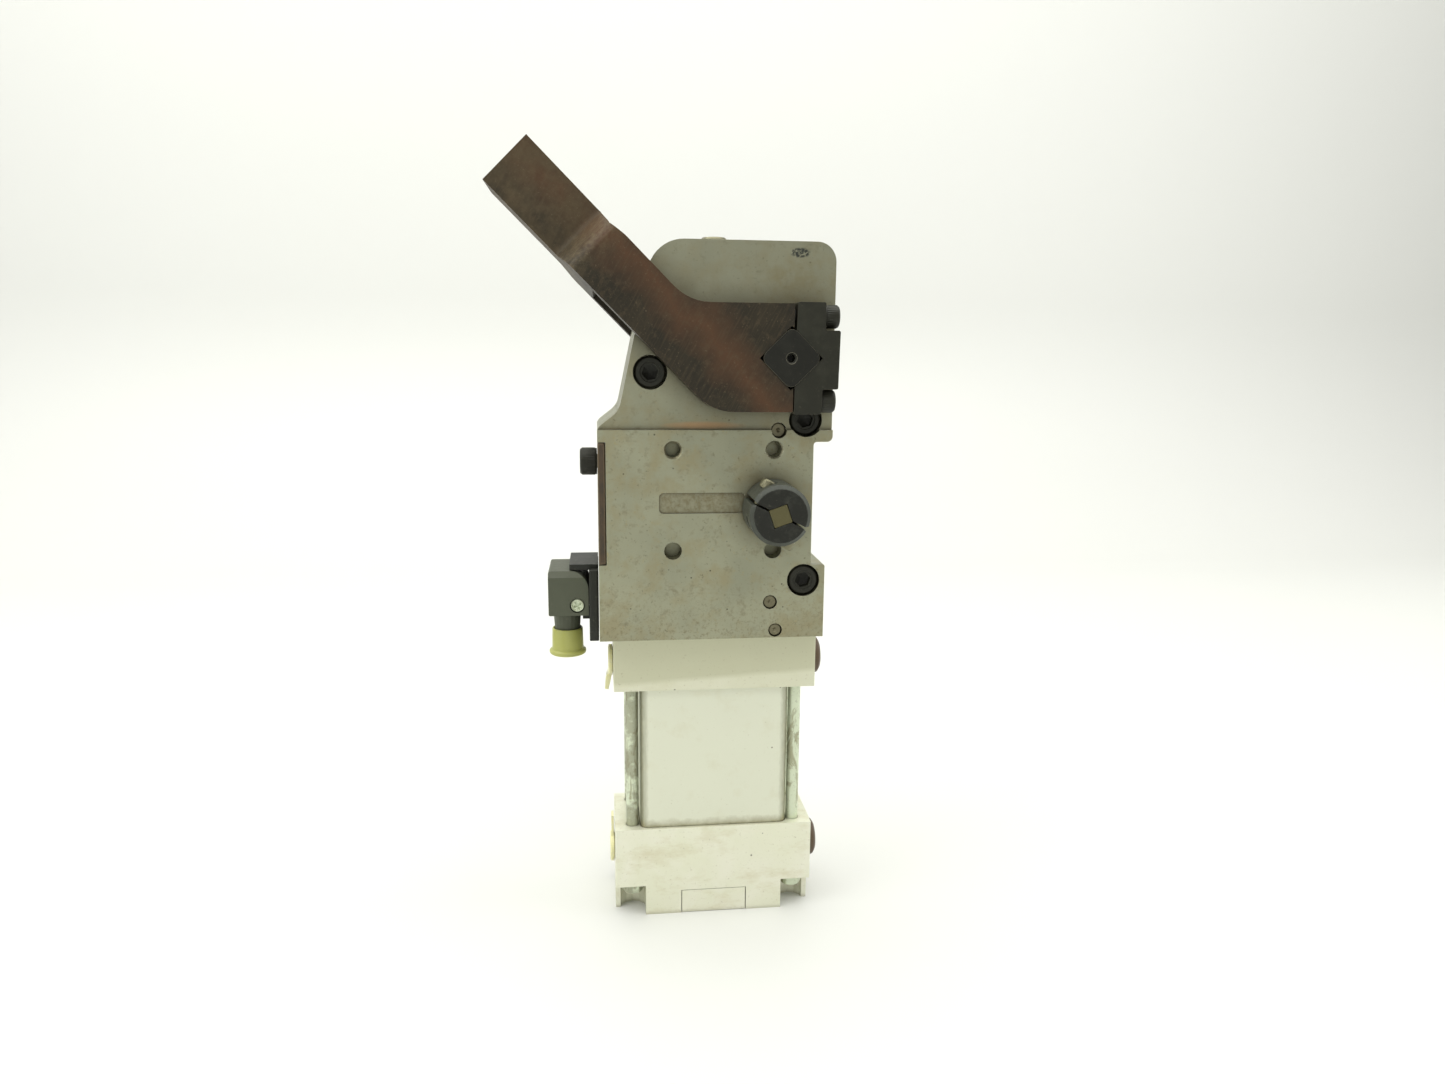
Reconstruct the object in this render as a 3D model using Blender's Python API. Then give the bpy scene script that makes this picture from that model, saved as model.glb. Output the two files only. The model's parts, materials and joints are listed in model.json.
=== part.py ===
"""Pneumatic clamping gripper: a slim tie-rod cylinder, a two-shell head and a fork arm.

The piston pushes a crosshead up inside the head. A roller on the drive lever sits in the
crosshead's notch, so the stroke turns the arm shaft and swings the fork arm from open
(rest, folded back over the head) to closed. A second, smaller shaft in the same
crosshead carries the split hub for a hand lever.

Frame: origin on the cylinder axis at the underside of the foot, +Z up, +X to the side
the arm closes over, Y across the thickness. Lengths are in millimetres until a mesh is
made, where MM turns them into metres.
"""

import math

import bmesh
import bpy
from mathutils import Matrix, Vector

MM = 0.001
GAP = 0.3                      # clearance between solids that touch on the real object
SNUG = 0.1                     # and between the shaft's square ends and what they drive
WELD = 0.00002                 # metres; closes the hairline slits a Boolean can leave

# ---------------------------------------------------------------- driving dimensions
# Head, two machined shells
HEAD_BOTTOM = 140.5
HEAD_TOP = 316.0
HEAD_LEFT = -53.5
HEAD_RIGHT = 50.5
HEAD_WAIST = 42.0              # right side between ear and shoulder
HEAD_SHOULDER_X = 48.5
SHOULDER_Z = 174.3
EAR_Z = 230.0
STEP_Z = 235.2                 # raised mounting face below this height
FACE_RAISED = 30.0             # half thickness at the mounting faces
FACE_RECESSED = 27.7           # half thickness behind the arm
CAVITY_HALF = 14.5
CAVITY_TOP = 306.0
CAVITY_BOTTOM = 148.5
HOLE_PITCH = 45.0
HOLE_LEFT = -20.6
HOLE_LOW = 181.5

# Arm shaft and hand-lever shaft, both along Y
ARM_X, ARM_Z = 28.7, 266.5
HAND_X, HAND_Z = 23.5, 200.5
SHAFT_R = 12.5
SHAFT_SQUARE = 19.0
SHAFT_END = 43.5               # half length over the square ends
CENTRE_HOLE_R, CENTRE_RIM_R = 1.7, 2.5
SHAFT_CORNER_R = 3.4
HAND_R = 8.0
HAND_SQUARE = 8.0
HAND_SQUARE_ANGLE = math.radians(19.5)

# Drive: levers, crosshead and stroke
LEVER_R = 24.5
SWING = math.radians(135.0)
LEVER_START = -SWING / 2.0     # lever angle below the line that points to the crosshead
STROKE_PER_RADIAN = 20.5
STROKE = STROKE_PER_RADIAN * SWING
ROLLER_R = 6.5
NOTCH_HALF = 8.3
CROSS_HALF = 5.5
LEVER_SIDE_GAP = 0.7
DRIVE_SLOT_BEHIND = 1.6        # how far behind its shaft each lever's slot starts
HAND_SLOT_BEHIND = 4.4
CROSS_LEFT, CROSS_RIGHT = -16.0, 14.5
CROSS_BOTTOM, CROSS_TOP = 152.0, 256.5
CROSS_BOSS_TOP = 165.5
ROD_END = 164.2
ARM_NOTCH_Z = ARM_Z - STROKE / 2.0
HAND_NOTCH_Z = HAND_Z - STROKE / 2.0

# Fork arm
LEG_OUT, LEG_IN = 43.0, 29.0
BASE_HALF = 22.7               # half height of the arm at its shaft end
BASE_END = 29.7
TIP_HALF = 18.5
TIP_LOW, TIP_HIGH = 169.2, 195.4   # across the 45 degree section, measured from origin
TIP_END = 310.2                # along the 45 degree section
SLOT_END = 246.4
LEG_END_HIGH = 192.9           # upper edge of the legs where they end
LEG_HIGH = 194.0               # and further down, where they are widest
JOG_START, JOG_END = 259.8, 267.0  # where a leg's face drops to the tip's
CLAMP_SCREWS = {"lower": (-18.3, 42.4), "upper": (17.6, 43.3)}  # height off the shaft, seat

# Cylinder
CAP_X, CAP_Y = 47.4, 21.0
FOOT_X = 32.5
FOOT_H = 14.9
LOWER_CAP_TOP = 44.3
UPPER_CAP_BOTTOM = 113.5
BARREL_X, BARREL_Y, BARREL_CORNER = 35.3, 19.0, 3.6
BORE_X, BORE_Y = 31.5, 15.0
BARREL_SEAT = 2.4
TIE_X, TIE_Y, TIE_R = 39.0, 13.8, 3.0
POCKET_Y = 12.7
ROD_R = 9.0
PISTON_H = 16.0
PORT_LOW_Z, PORT_HIGH_Z = 26.4, 122.9
PORT_R = 6.6
PORT_PLUG_OUT = 5.8            # how far the right-hand plugs stand out
AIR_X, AIR_R = 24.0, 2.2       # drillings from the ports to the bore

# Sensor socket on the left face
SENSOR_LOW, SENSOR_HIGH = 136.6, 169.9
SENSOR_PLATE_T = 4.3
LEDGE_HIGH = 171.8
PLUG_W, PLUG_LOW, PLUG_HIGH = 18.4, 148.3, 168.9
PLUG_X = -68.7
PLUG_FRONT, PLUG_BACK = -13.0, 18.0
PLUG_ROUND, PLUG_BEVEL = 8.3, 2.6
PLUG_SCREW_IN, PLUG_SCREW_Z, PLUG_SCREW_R = 5.2, 153.0, 3.1
DUST_CAP_LOW, DUST_CAP_HIGH = 126.8, 139.6

COVER_T = 3.2
COVER_LOW, COVER_HIGH = 175.7, 229.6
COVER_SCREW_Z = 218.7

DIAGONAL = math.sqrt(0.5)


# ---------------------------------------------------------------- materials
def material(name, colour, roughness, metallic):
    mat = bpy.data.materials.new(name)
    mat.use_nodes = True
    shader = mat.node_tree.nodes["Principled BSDF"]
    shader.inputs["Base Color"].default_value = (*colour, 1.0)
    shader.inputs["Roughness"].default_value = roughness
    shader.inputs["Metallic"].default_value = metallic
    mat.diffuse_color = (*colour, 1.0)
    return mat


def make_materials():
    return {
        "steel": material("machined_steel", (0.42, 0.41, 0.36), 0.42, 1.0),
        "aluminium": material("milled_aluminium", (0.66, 0.66, 0.60), 0.38, 1.0),
        "cast": material("blackened_casting", (0.13, 0.085, 0.065), 0.55, 0.6),
        "black": material("black_oxide", (0.035, 0.037, 0.037), 0.45, 0.7),
        "zinc": material("zinc_plate", (0.55, 0.58, 0.50), 0.35, 1.0),
        "bronze": material("bearing_bronze", (0.55, 0.38, 0.18), 0.40, 1.0),
        "hardened": material("hardened_steel", (0.30, 0.30, 0.30), 0.25, 1.0),
        "brown": material("brown_plate", (0.14, 0.09, 0.06), 0.55, 0.6),
        "rubber": material("seal_rubber", (0.03, 0.03, 0.03), 0.70, 0.0),
        "grey": material("grey_plastic", (0.17, 0.18, 0.17), 0.50, 0.0),
        "yellow": material("yellow_plastic", (0.80, 0.74, 0.30), 0.40, 0.0),
    }


# ---------------------------------------------------------------- outlines
COARSE = math.radians(24.0)      # turn per facet of a small corner
FINE = math.radians(8.0)         # and of one that shapes the silhouette


def rounded(corners, step=COARSE):
    """Turn (x, y) or (x, y, radius) corners into a closed outline with round corners."""
    outline = []
    count = len(corners)
    for i, corner in enumerate(corners):
        here = Vector(corner[:2])
        radius = corner[2] if len(corner) > 2 else 0.0
        if radius == 0.0:
            outline.append(tuple(here))
            continue
        back = (Vector(corners[i - 1][:2]) - here).normalized()
        ahead = (Vector(corners[(i + 1) % count][:2]) - here).normalized()
        half = back.angle(ahead) / 2.0
        centre = here + (back + ahead).normalized() * (radius / math.sin(half))
        first = here + back * (radius / math.tan(half)) - centre
        last = here + ahead * (radius / math.tan(half)) - centre
        start = math.atan2(first.y, first.x)
        sweep = math.atan2(last.y, last.x) - start
        sweep = (sweep + math.pi) % (2.0 * math.pi) - math.pi
        pieces = max(2, round(abs(sweep) / step))
        for k in range(pieces + 1):
            angle = start + sweep * k / pieces
            outline.append((centre.x + radius * math.cos(angle),
                            centre.y + radius * math.sin(angle)))
    return outline


def rectangle(x0, x1, y0, y1, radius=0.0):
    return rounded([(x0, y0, radius), (x1, y0, radius), (x1, y1, radius), (x0, y1, radius)])


def stadium(half_x, half_y, pieces=8):
    """An oval with straight long sides, centred on the origin."""
    points = []
    for side in (1, -1):
        for k in range(pieces + 1):
            angle = math.pi * (k / pieces - 0.5)
            points.append((side * (half_x - half_y + half_y * math.cos(angle)),
                           side * half_y * math.sin(angle)))
    return points


def circle(x, y, radius, segments=32):
    turn = 2.0 * math.pi / segments
    return [(x + radius * math.cos(turn * k), y + radius * math.sin(turn * k))
            for k in range(segments)]


def turned_square(x, y, side, angle, radius=0.0):
    """A square about (x, y) with its edges at an angle."""
    half = side / 2.0
    corners = []
    for quarter in range(4):
        c, s = math.cos(angle + quarter * math.pi / 2), math.sin(angle + quarter * math.pi / 2)
        corners.append((x + half * (c - s), y + half * (s + c), radius))
    return rounded(corners)


def along_arm(u, v):
    """A point on the arm's 45 degree section: u up its length, v across it."""
    return ((v - u) * DIAGONAL, (v + u) * DIAGONAL)


# ---------------------------------------------------------------- solids
PLANES = {
    "X": lambda a, b, t: (t, a, b),
    "Y": lambda a, b, t: (a, t, b),
    "Z": lambda a, b, t: (a, b, t),
}


def finish_object(name, bm, mat):
    bmesh.ops.recalc_face_normals(bm, faces=bm.faces)
    mesh = bpy.data.meshes.new(name)
    bm.to_mesh(mesh)
    bm.free()
    mesh.shade_smooth()
    mesh.set_sharp_from_angle(angle=math.radians(30.0))
    obj = bpy.data.objects.new(name, mesh)
    bpy.context.collection.objects.link(obj)
    if mat:
        mesh.materials.append(mat)
    return obj


def prism(name, outline, low, high, axis="Y", mat=None):
    """Extrude an outline from low to high along an axis."""
    place = PLANES[axis]
    bm = bmesh.new()
    bottom = [bm.verts.new(Vector(place(a, b, low)) * MM) for a, b in outline]
    top = [bm.verts.new(Vector(place(a, b, high)) * MM) for a, b in outline]
    bm.faces.new(bottom)
    bm.faces.new(reversed(top))
    for i in range(len(outline)):
        j = (i + 1) % len(outline)
        bm.faces.new((bottom[i], bottom[j], top[j], top[i]))
    return finish_object(name, bm, mat)


def turned(name, profile, centre, axis="Y", mat=None, segments=20):
    """Turn a profile of (radius, place along the axis) about an axis through centre.

    A profile that starts and ends at radius 0 is solid. Any other one is a closed ring.
    """
    place = PLANES[axis]
    solid = profile[0][0] == 0.0 and profile[-1][0] == 0.0
    bm = bmesh.new()
    rings = []
    for radius, t in profile:
        if radius == 0.0:
            rings.append([bm.verts.new(Vector(place(centre[0], centre[1], t)) * MM)])
            continue
        rings.append([bm.verts.new(Vector(place(a, b, t)) * MM)
                      for a, b in circle(centre[0], centre[1], radius, segments)])
    spans = len(rings) - 1 if solid else len(rings)
    for r in range(spans):
        lower, upper = rings[r], rings[(r + 1) % len(rings)]
        for i in range(segments):
            j = (i + 1) % segments
            if len(lower) == 1:
                bm.faces.new((lower[0], upper[j], upper[i]))
            elif len(upper) == 1:
                bm.faces.new((lower[i], lower[j], upper[0]))
            else:
                bm.faces.new((lower[i], lower[j], upper[j], upper[i]))
    return finish_object(name, bm, mat)


def rod(name, centre, radius, low, high, axis="Y", mat=None, segments=20):
    return turned(name, [(0.0, low), (radius, low), (radius, high), (0.0, high)],
                  centre, axis, mat, segments)


def ring(name, centre, inner, outer, low, high, axis="Y", mat=None, segments=20):
    return turned(name, [(inner, low), (outer, low), (outer, high), (inner, high)],
                  centre, axis, mat, segments)


def combine(target, tool, operation):
    """Apply one Boolean to a solid and drop the tool."""
    modifier = target.modifiers.new("combine", "BOOLEAN")
    modifier.operation = operation
    modifier.object = tool
    graph = bpy.context.evaluated_depsgraph_get()
    result = bpy.data.meshes.new_from_object(target.evaluated_get(graph))
    target.modifiers.remove(modifier)
    bm = bmesh.new()
    bm.from_mesh(result)
    bmesh.ops.remove_doubles(bm, verts=bm.verts, dist=WELD)
    bmesh.ops.dissolve_degenerate(bm, edges=bm.edges, dist=WELD)
    bm.to_mesh(result)
    bm.free()
    old = target.data
    result.name = old.name
    target.data = result
    bpy.data.meshes.remove(old)
    tool_mesh = tool.data
    bpy.data.objects.remove(tool)
    bpy.data.meshes.remove(tool_mesh)
    result.shade_smooth()
    result.set_sharp_from_angle(angle=math.radians(30.0))
    return target


def cut(target, *tools):
    for tool in tools:
        combine(target, tool, "DIFFERENCE")
    return target


def fuse(target, *others):
    for other in others:
        combine(target, other, "UNION")
    return target


def bore(centre, radius, low, high, axis="Y", segments=12):
    return rod("bore", centre, radius, low, high, axis, segments=segments)


def socket_screw(name, centre, head_r, head_low, head_high, shank_r, shank_end, axis, mat):
    """A cap screw whose head runs from head_low to head_high, with a hexagon socket."""
    toward = 1.0 if head_high > head_low else -1.0
    bevel = 0.12 * head_r
    body = turned(name, [(0.0, shank_end), (shank_r, shank_end), (shank_r, head_low),
                         (head_r, head_low), (head_r, head_high - toward * bevel),
                         (head_r - bevel, head_high), (0.0, head_high)],
                  centre, axis, mat, 14)
    socket = prism("socket", circle(centre[0], centre[1], 0.53 * head_r, 6),
                   head_high - toward * 0.55 * abs(head_high - head_low),
                   head_high + toward, axis)
    return cut(body, socket)


# ---------------------------------------------------------------- head
def head_outline():
    """Outer outline of the head in X and Z, anticlockwise from the lower left."""
    return rounded([
        (HEAD_LEFT, HEAD_BOTTOM), (HEAD_SHOULDER_X, HEAD_BOTTOM),
        (HEAD_SHOULDER_X, SHOULDER_Z, 0.8), (HEAD_WAIST, SHOULDER_Z, 0.8),
        (HEAD_WAIST, EAR_Z, 1.5), (HEAD_RIGHT, EAR_Z, 2.5),
        (HEAD_RIGHT, HEAD_TOP, 8.5), (-28.5, HEAD_TOP, 16.0),
        (-43.9, 243.4, 10.0), (HEAD_LEFT, 235.9, 4.0),
    ], FINE)


def mounting_pad_outline():
    """The raised part of a side face, below the step."""
    return rounded([
        (HEAD_LEFT, HEAD_BOTTOM), (HEAD_SHOULDER_X, HEAD_BOTTOM),
        (HEAD_SHOULDER_X, SHOULDER_Z, 0.8), (HEAD_WAIST, SHOULDER_Z, 0.8),
        (HEAD_WAIST, EAR_Z, 1.5), (HEAD_RIGHT, EAR_Z, 2.5),
        (HEAD_RIGHT, STEP_Z), (HEAD_LEFT, STEP_Z),
    ], FINE)


def cavity_outline():
    """Room for the crosshead on the left and for the two levers on the right."""
    return rounded([
        (-19.0, CAVITY_BOTTOM, 2.0), (29.0, CAVITY_BOTTOM, 2.0), (29.0, 186.0),
        (37.0, 186.0, 3.0), (37.0, 215.0, 3.0), (31.5, 215.0), (31.5, 249.5),
        (45.5, 249.5, 3.0), (45.5, 284.0, 5.0), (18.0, CAVITY_TOP, 3.0), (-19.0, CAVITY_TOP, 3.0),
    ])


HEAD_SCREWS = {
    "upper_left": (-30.4, 260.0, FACE_RECESSED),
    "upper_right": (38.5, 239.6, FACE_RECESSED),
    "lower_right": (38.7, 167.2, FACE_RAISED),
}
LOCATING_PINS = {
    "upper": (26.4, 235.0, 3.2, FACE_RECESSED - 0.5),
    "middle": (23.6, 157.2, 3.0, FACE_RAISED - 0.5),
    "lower": (26.2, 144.0, 2.9, FACE_RAISED - 0.5),
}
PIN_DEPTH = 12.0
PIN_DIMPLE_R, PIN_DIMPLE_DEPTH = 1.1, 0.7


def housing(name, side, mat):
    """One shell of the head. side is -1 for the front and +1 for the rear."""
    def span(a, b):
        return sorted((side * a, side * b))

    shell = prism(name, head_outline(), *span(GAP / 2, FACE_RECESSED), "Y", mat)
    fuse(shell, prism("pad", mounting_pad_outline(), *span(FACE_RECESSED - 4.0, FACE_RAISED)))
    cut(shell, prism("cavity", cavity_outline(), *span(-1.0, CAVITY_HALF)))
    cut(shell, prism("cover_seat", rectangle(HEAD_LEFT - 2, HEAD_LEFT + COVER_T + GAP,
                                             COVER_LOW - GAP, COVER_HIGH + GAP),
                     *span(-1.0, FACE_RAISED + 1)))
    cut(shell, prism("sensor_pocket", rectangle(HEAD_LEFT - 1, -18.0, 178.0, 226.0, 2.0),
                     *span(-1.0, 9.5)))
    cut(shell, prism("sensor_channel", rectangle(-49.0, -32.0, 152.0, 179.0, 2.0),
                     *span(-1.0, 7.0)))
    cut(shell, prism("sensor_door", rectangle(HEAD_LEFT - 2, -48.0, 153.0, 165.0, 1.0),
                     *span(-1.0, 6.0)))
    cut(shell, bore((0, 0), 11.0, HEAD_BOTTOM - 2, CAVITY_BOTTOM + 2, "Z"))
    cut(shell, bore((0, 0), 4.3, CAVITY_TOP - 2, HEAD_TOP + 2, "Z"))
    cut(shell, bore((0, 0), 7.3, HEAD_TOP - 3.6, HEAD_TOP + 2, "Z"))
    cut(shell, bore((ARM_X, ARM_Z), SHAFT_R + 2.8, *span(CAVITY_HALF - 2, FACE_RAISED), segments=32))
    cut(shell, bore((HAND_X, HAND_Z), HAND_R + 2.8, *span(CAVITY_HALF - 2, FACE_RAISED + 1),
                    segments=24))
    for x in (HOLE_LEFT, HOLE_LEFT + HOLE_PITCH):
        cut(shell, bore((x, HOLE_LOW), 4.0, *span(FACE_RAISED - 9.0, FACE_RAISED + 1),
                        segments=16))
        thread = turned("thread", [(0.0, side * 19.5), (3.4, side * 19.5),
                                   (3.4, side * (FACE_RAISED - 0.8)),
                                   (4.2, side * FACE_RAISED), (4.2, side * 32.0),
                                   (0.0, side * 32.0)],
                        (x, HOLE_LOW + HOLE_PITCH), segments=16)
        cut(shell, thread)
    for x in (-TIE_X, TIE_X):
        cut(shell, bore((x, side * TIE_Y), TIE_R + GAP, HEAD_BOTTOM - 2, HEAD_BOTTOM + 12, "Z"))
    cut(shell, bore((0.0, COVER_SCREW_Z), 3.6, HEAD_LEFT, -40.0, "X"))
    for x, z, face in HEAD_SCREWS.values():
        cut(shell, bore((x, z), 4.3, *span(-1.0, 22.0 if side > 0 else FACE_RAISED)))
        if side < 0:
            cut(shell, bore((x, z), 7.5, *span(face - 8.5, FACE_RAISED + 1), segments=24))
    if side < 0:
        for x, z, radius, face in LOCATING_PINS.values():
            cut(shell, bore((x, z), radius + GAP, *span(face - PIN_DEPTH - GAP, FACE_RAISED + 1)))
        cut(shell, prism("name_field", rectangle(-26.8, 11.5, 198.3, 207.6, 2.0),
                         *span(FACE_RAISED - 0.8, FACE_RAISED + 1)))
    return shell


def make_head(mats):
    housing("front_housing", -1, mats["steel"])
    housing("rear_housing", 1, mats["steel"])
    cover = prism("cover_plate", rectangle(HEAD_LEFT, HEAD_LEFT + COVER_T, COVER_LOW, COVER_HIGH),
                  -FACE_RAISED, FACE_RAISED, "Y", mats["brown"])
    cut(cover, bore((0.0, COVER_SCREW_Z), 4.4, HEAD_LEFT - 2, HEAD_LEFT + COVER_T + 2, "X"))
    socket_screw("cover_screw", (0.0, COVER_SCREW_Z), 6.4, HEAD_LEFT - GAP, HEAD_LEFT - 8.0, 3.2,
                 -42.0, "X", mats["black"])
    socket_screw("stop_screw", (0.0, 0.0), 6.1, HEAD_TOP - 3.2, HEAD_TOP + 3.5, 3.9,
                 CAVITY_TOP - 0.2, "Z", mats["hardened"])
    for place, (x, z, face) in HEAD_SCREWS.items():
        socket_screw("housing_screw_" + place, (x, z), 7.0, -(face - 8.2), -(face - 0.6), 3.9,
                     20.0, "Y", mats["black"])
    for place, (x, z, radius, face) in LOCATING_PINS.items():
        end = face - GAP
        turned("locating_pin_" + place,
               [(0.0, -(face - PIN_DEPTH)), (radius, -(face - PIN_DEPTH)), (radius, -end + 0.4),
                (radius - 0.4, -end), (PIN_DIMPLE_R, -end), (0.0, -end + PIN_DIMPLE_DEPTH)],
               (x, z), "Y", mats["zinc"], 20)


def make_bearings(mats):
    for side, place in ((-1, "front"), (1, "rear")):
        ring("arm_bush_" + place, (ARM_X, ARM_Z), SHAFT_R + GAP, SHAFT_R + 2.5,
             side * (CAVITY_HALF + GAP), side * (FACE_RECESSED - GAP), "Y", mats["bronze"], 24)
        ring("hand_bush_" + place, (HAND_X, HAND_Z), HAND_R + GAP, HAND_R + 2.5,
             side * (CAVITY_HALF + GAP), side * (FACE_RAISED - GAP), "Y", mats["bronze"], 24)
        rail = prism("guide_rail_" + place, rectangle(-18.7, -9.2, 152.0, 303.0),
                     side * (CROSS_HALF + GAP), side * (CAVITY_HALF - GAP), "Y", mats["hardened"])
        fuse(rail, prism("lip", rectangle(-18.7, CROSS_LEFT - GAP, 152.0, 303.0),
                         side * 2.7, side * 8.0))


# ---------------------------------------------------------------- drive
def lever_direction(angle):
    """Unit vector from a shaft to its lever's far end, in X and Z."""
    return Vector((-math.cos(angle), math.sin(angle)))


def strip_along(x, z, direction, start, end, half_width):
    """A strip from a shaft along a direction, as an outline in X and Z."""
    across = Vector((-direction.y, direction.x)) * half_width
    near = Vector((x, z)) + direction * start
    far = Vector((x, z)) + direction * end
    return [tuple(p) for p in (near - across, far - across, far + across, near + across)]


def forked_lever(name, x, z, hub_r, eye_r, half, bore_r, behind, mat):
    """Two cheeks joined behind the shaft, so the crosshead passes between them."""
    direction = lever_direction(LEVER_START)
    far = Vector((x, z)) + direction * LEVER_R
    lever = rod(name, (x, z), hub_r, -half, half, "Y", mat)
    fuse(lever, prism("web", strip_along(x, z, direction, 0.0, LEVER_R, eye_r), -half, half),
         rod("eye", tuple(far), eye_r, -half, half))
    space = strip_along(x, z, direction, -behind, 60.0, 60.0)
    cut(lever, prism("space", space, -CROSS_HALF - LEVER_SIDE_GAP, CROSS_HALF + LEVER_SIDE_GAP),
        bore((x, z), bore_r, -half - 1, half + 1, segments=24))
    return lever, far


def make_crosshead(mats):
    head = prism("crosshead", rectangle(CROSS_LEFT, CROSS_RIGHT, CROSS_BOTTOM, CROSS_TOP, 1.0),
                 -CROSS_HALF, CROSS_HALF, "Y", mats["hardened"])
    fuse(head, prism("boss", rectangle(-8.8, 8.8, CROSS_BOTTOM, CROSS_BOSS_TOP, 1.0),
                    -10.0, 10.0))
    for shaft_x, z in ((ARM_X, ARM_NOTCH_Z), (HAND_X, HAND_NOTCH_Z)):
        inner = shaft_x - LEVER_R - ROLLER_R - 0.6
        cut(head, prism("notch", rounded([(inner, z - NOTCH_HALF, 5.0), (20.0, z - NOTCH_HALF),
                                          (20.0, z + NOTCH_HALF), (inner, z + NOTCH_HALF, 5.0)]),
                        -CROSS_HALF - 1, CROSS_HALF + 1))
    cut(head, bore((0, 0), 6.0 + GAP, CROSS_BOTTOM - 1, ROD_END + GAP, "Z"))
    target = prism("sensor_target", rectangle(-18.7, CROSS_LEFT - GAP, 178.0, 192.0, 0.8),
                   -2.2, 2.2, "Y", mats["zinc"])
    return [head, target]


def make_piston(mats):
    piston_low = LOWER_CAP_TOP + 1.0
    piston_high = piston_low + PISTON_H
    groove_low, groove_high = piston_low + 5.0, piston_low + 11.0
    clear = 0.35
    piston = prism("piston", stadium(BORE_X - clear, BORE_Y - clear), piston_low, piston_high,
                   "Z", mats["aluminium"])
    groove = prism("groove", stadium(BORE_X + 1, BORE_Y + 1), groove_low, groove_high, "Z")
    cut(groove, prism("core", stadium(BORE_X - 3.0, BORE_Y - 3.0), piston_low, piston_high, "Z"))
    cut(piston, groove, bore((0, 0), 5.0 + GAP, piston_low - 1, piston_high + 1, "Z"))
    seal = prism("piston_seal", stadium(BORE_X - clear, BORE_Y - clear), groove_low + GAP,
                 groove_high - GAP, "Z", mats["rubber"])
    cut(seal, prism("inside", stadium(BORE_X - 2.6, BORE_Y - 2.6), piston_low, piston_high, "Z"))
    stem = turned("piston_rod", [(0.0, 36.5), (5.0, 36.5), (5.0, piston_high + GAP),
                                 (ROD_R, piston_high + GAP), (ROD_R, CROSS_BOTTOM - GAP),
                                 (6.0, CROSS_BOTTOM - GAP), (6.0, ROD_END), (0.0, ROD_END)],
                  (0, 0), "Z", mats["hardened"], 24)
    nut = prism("rod_nut", circle(0, 0, 8.6, 6), 37.5, piston_low - GAP, "Z", mats["zinc"])
    cut(nut, bore((0, 0), 5.0 + GAP, 30, 50, "Z"))
    return [piston, seal, stem, nut]


def make_arm_drive(mats):
    """Shaft, drive lever, pin and roller, all on the arm's axis."""
    shaft = rod("arm_shaft", (ARM_X, ARM_Z), SHAFT_R, -FACE_RECESSED, FACE_RECESSED,
                "Y", mats["black"], 32)
    square = turned_square(ARM_X, ARM_Z, SHAFT_SQUARE, math.pi / 4, SHAFT_CORNER_R)
    for side in (-1, 1):
        fuse(shaft, prism("square", square, side * (FACE_RECESSED - 0.2), side * SHAFT_END))
        depth, past = side * (SHAFT_END - 6.5), side * (SHAFT_END + 2.0)
        cut(shaft, turned("centre_hole", [(0.0, depth), (CENTRE_HOLE_R, depth),
                                          (CENTRE_HOLE_R, side * (SHAFT_END - 0.7)),
                                          (CENTRE_RIM_R, side * (SHAFT_END + 0.1)),
                                          (CENTRE_RIM_R, past), (0.0, past)], (ARM_X, ARM_Z)))
    lever, far = forked_lever("drive_lever", ARM_X, ARM_Z, 16.0, 8.0, 12.0, SHAFT_R + GAP,
                              DRIVE_SLOT_BEHIND, mats["hardened"])
    cut(lever, bore(tuple(far), 4.0 + GAP, -13, 13))
    pin = rod("lever_pin", tuple(far), 4.0, -11.8, 11.8, "Y", mats["zinc"], 16)
    roller = ring("lever_roller", tuple(far), 4.0 + GAP, ROLLER_R, -5.6, 5.6, "Y",
                  mats["hardened"])
    return [shaft, lever, pin], roller


# ---------------------------------------------------------------- fork arm
def leg_outline():
    """Side view of the whole arm in X and Z, anticlockwise from the shaft end."""
    bend_low = ((TIP_LOW / DIAGONAL) - (ARM_Z - BASE_HALF), ARM_Z - BASE_HALF)
    return rounded([
        (BASE_END, ARM_Z - BASE_HALF, 0.5), (BASE_END, ARM_Z + BASE_HALF, 0.5),
        (LEG_HIGH / DIAGONAL - ARM_Z - BASE_HALF, ARM_Z + BASE_HALF, 22.0),
        (*along_arm(252.0, LEG_HIGH), 20.0), along_arm(JOG_START, LEG_END_HIGH),
        along_arm(JOG_END, TIP_HIGH), along_arm(TIP_END, TIP_HIGH),
        along_arm(TIP_END, TIP_LOW), (*bend_low, 22.0),
    ], FINE)


def jog_cutter(side):
    """Takes one side of the arm's end down to the tip's thickness."""
    out, leg, tip = side * (LEG_OUT + 4.0), side * LEG_OUT, side * TIP_HALF
    start, end = JOG_START - 8.0, TIP_END + 10.0
    profile = rounded([(start, out), (start, leg + side * 0.4), (JOG_START, leg, 6.0),
                       (JOG_END, tip, 4.0), (end, tip), (end, out)], FINE)
    tool = prism("jog", profile, TIP_LOW - 20, TIP_HIGH + 20, "Z")
    along_to_xyz = Matrix(((-DIAGONAL, 0.0, DIAGONAL), (0.0, 1.0, 0.0), (DIAGONAL, 0.0, DIAGONAL)))
    tool.data.transform(along_to_xyz.to_4x4())
    tool.data.flip_normals()
    return tool


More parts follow.
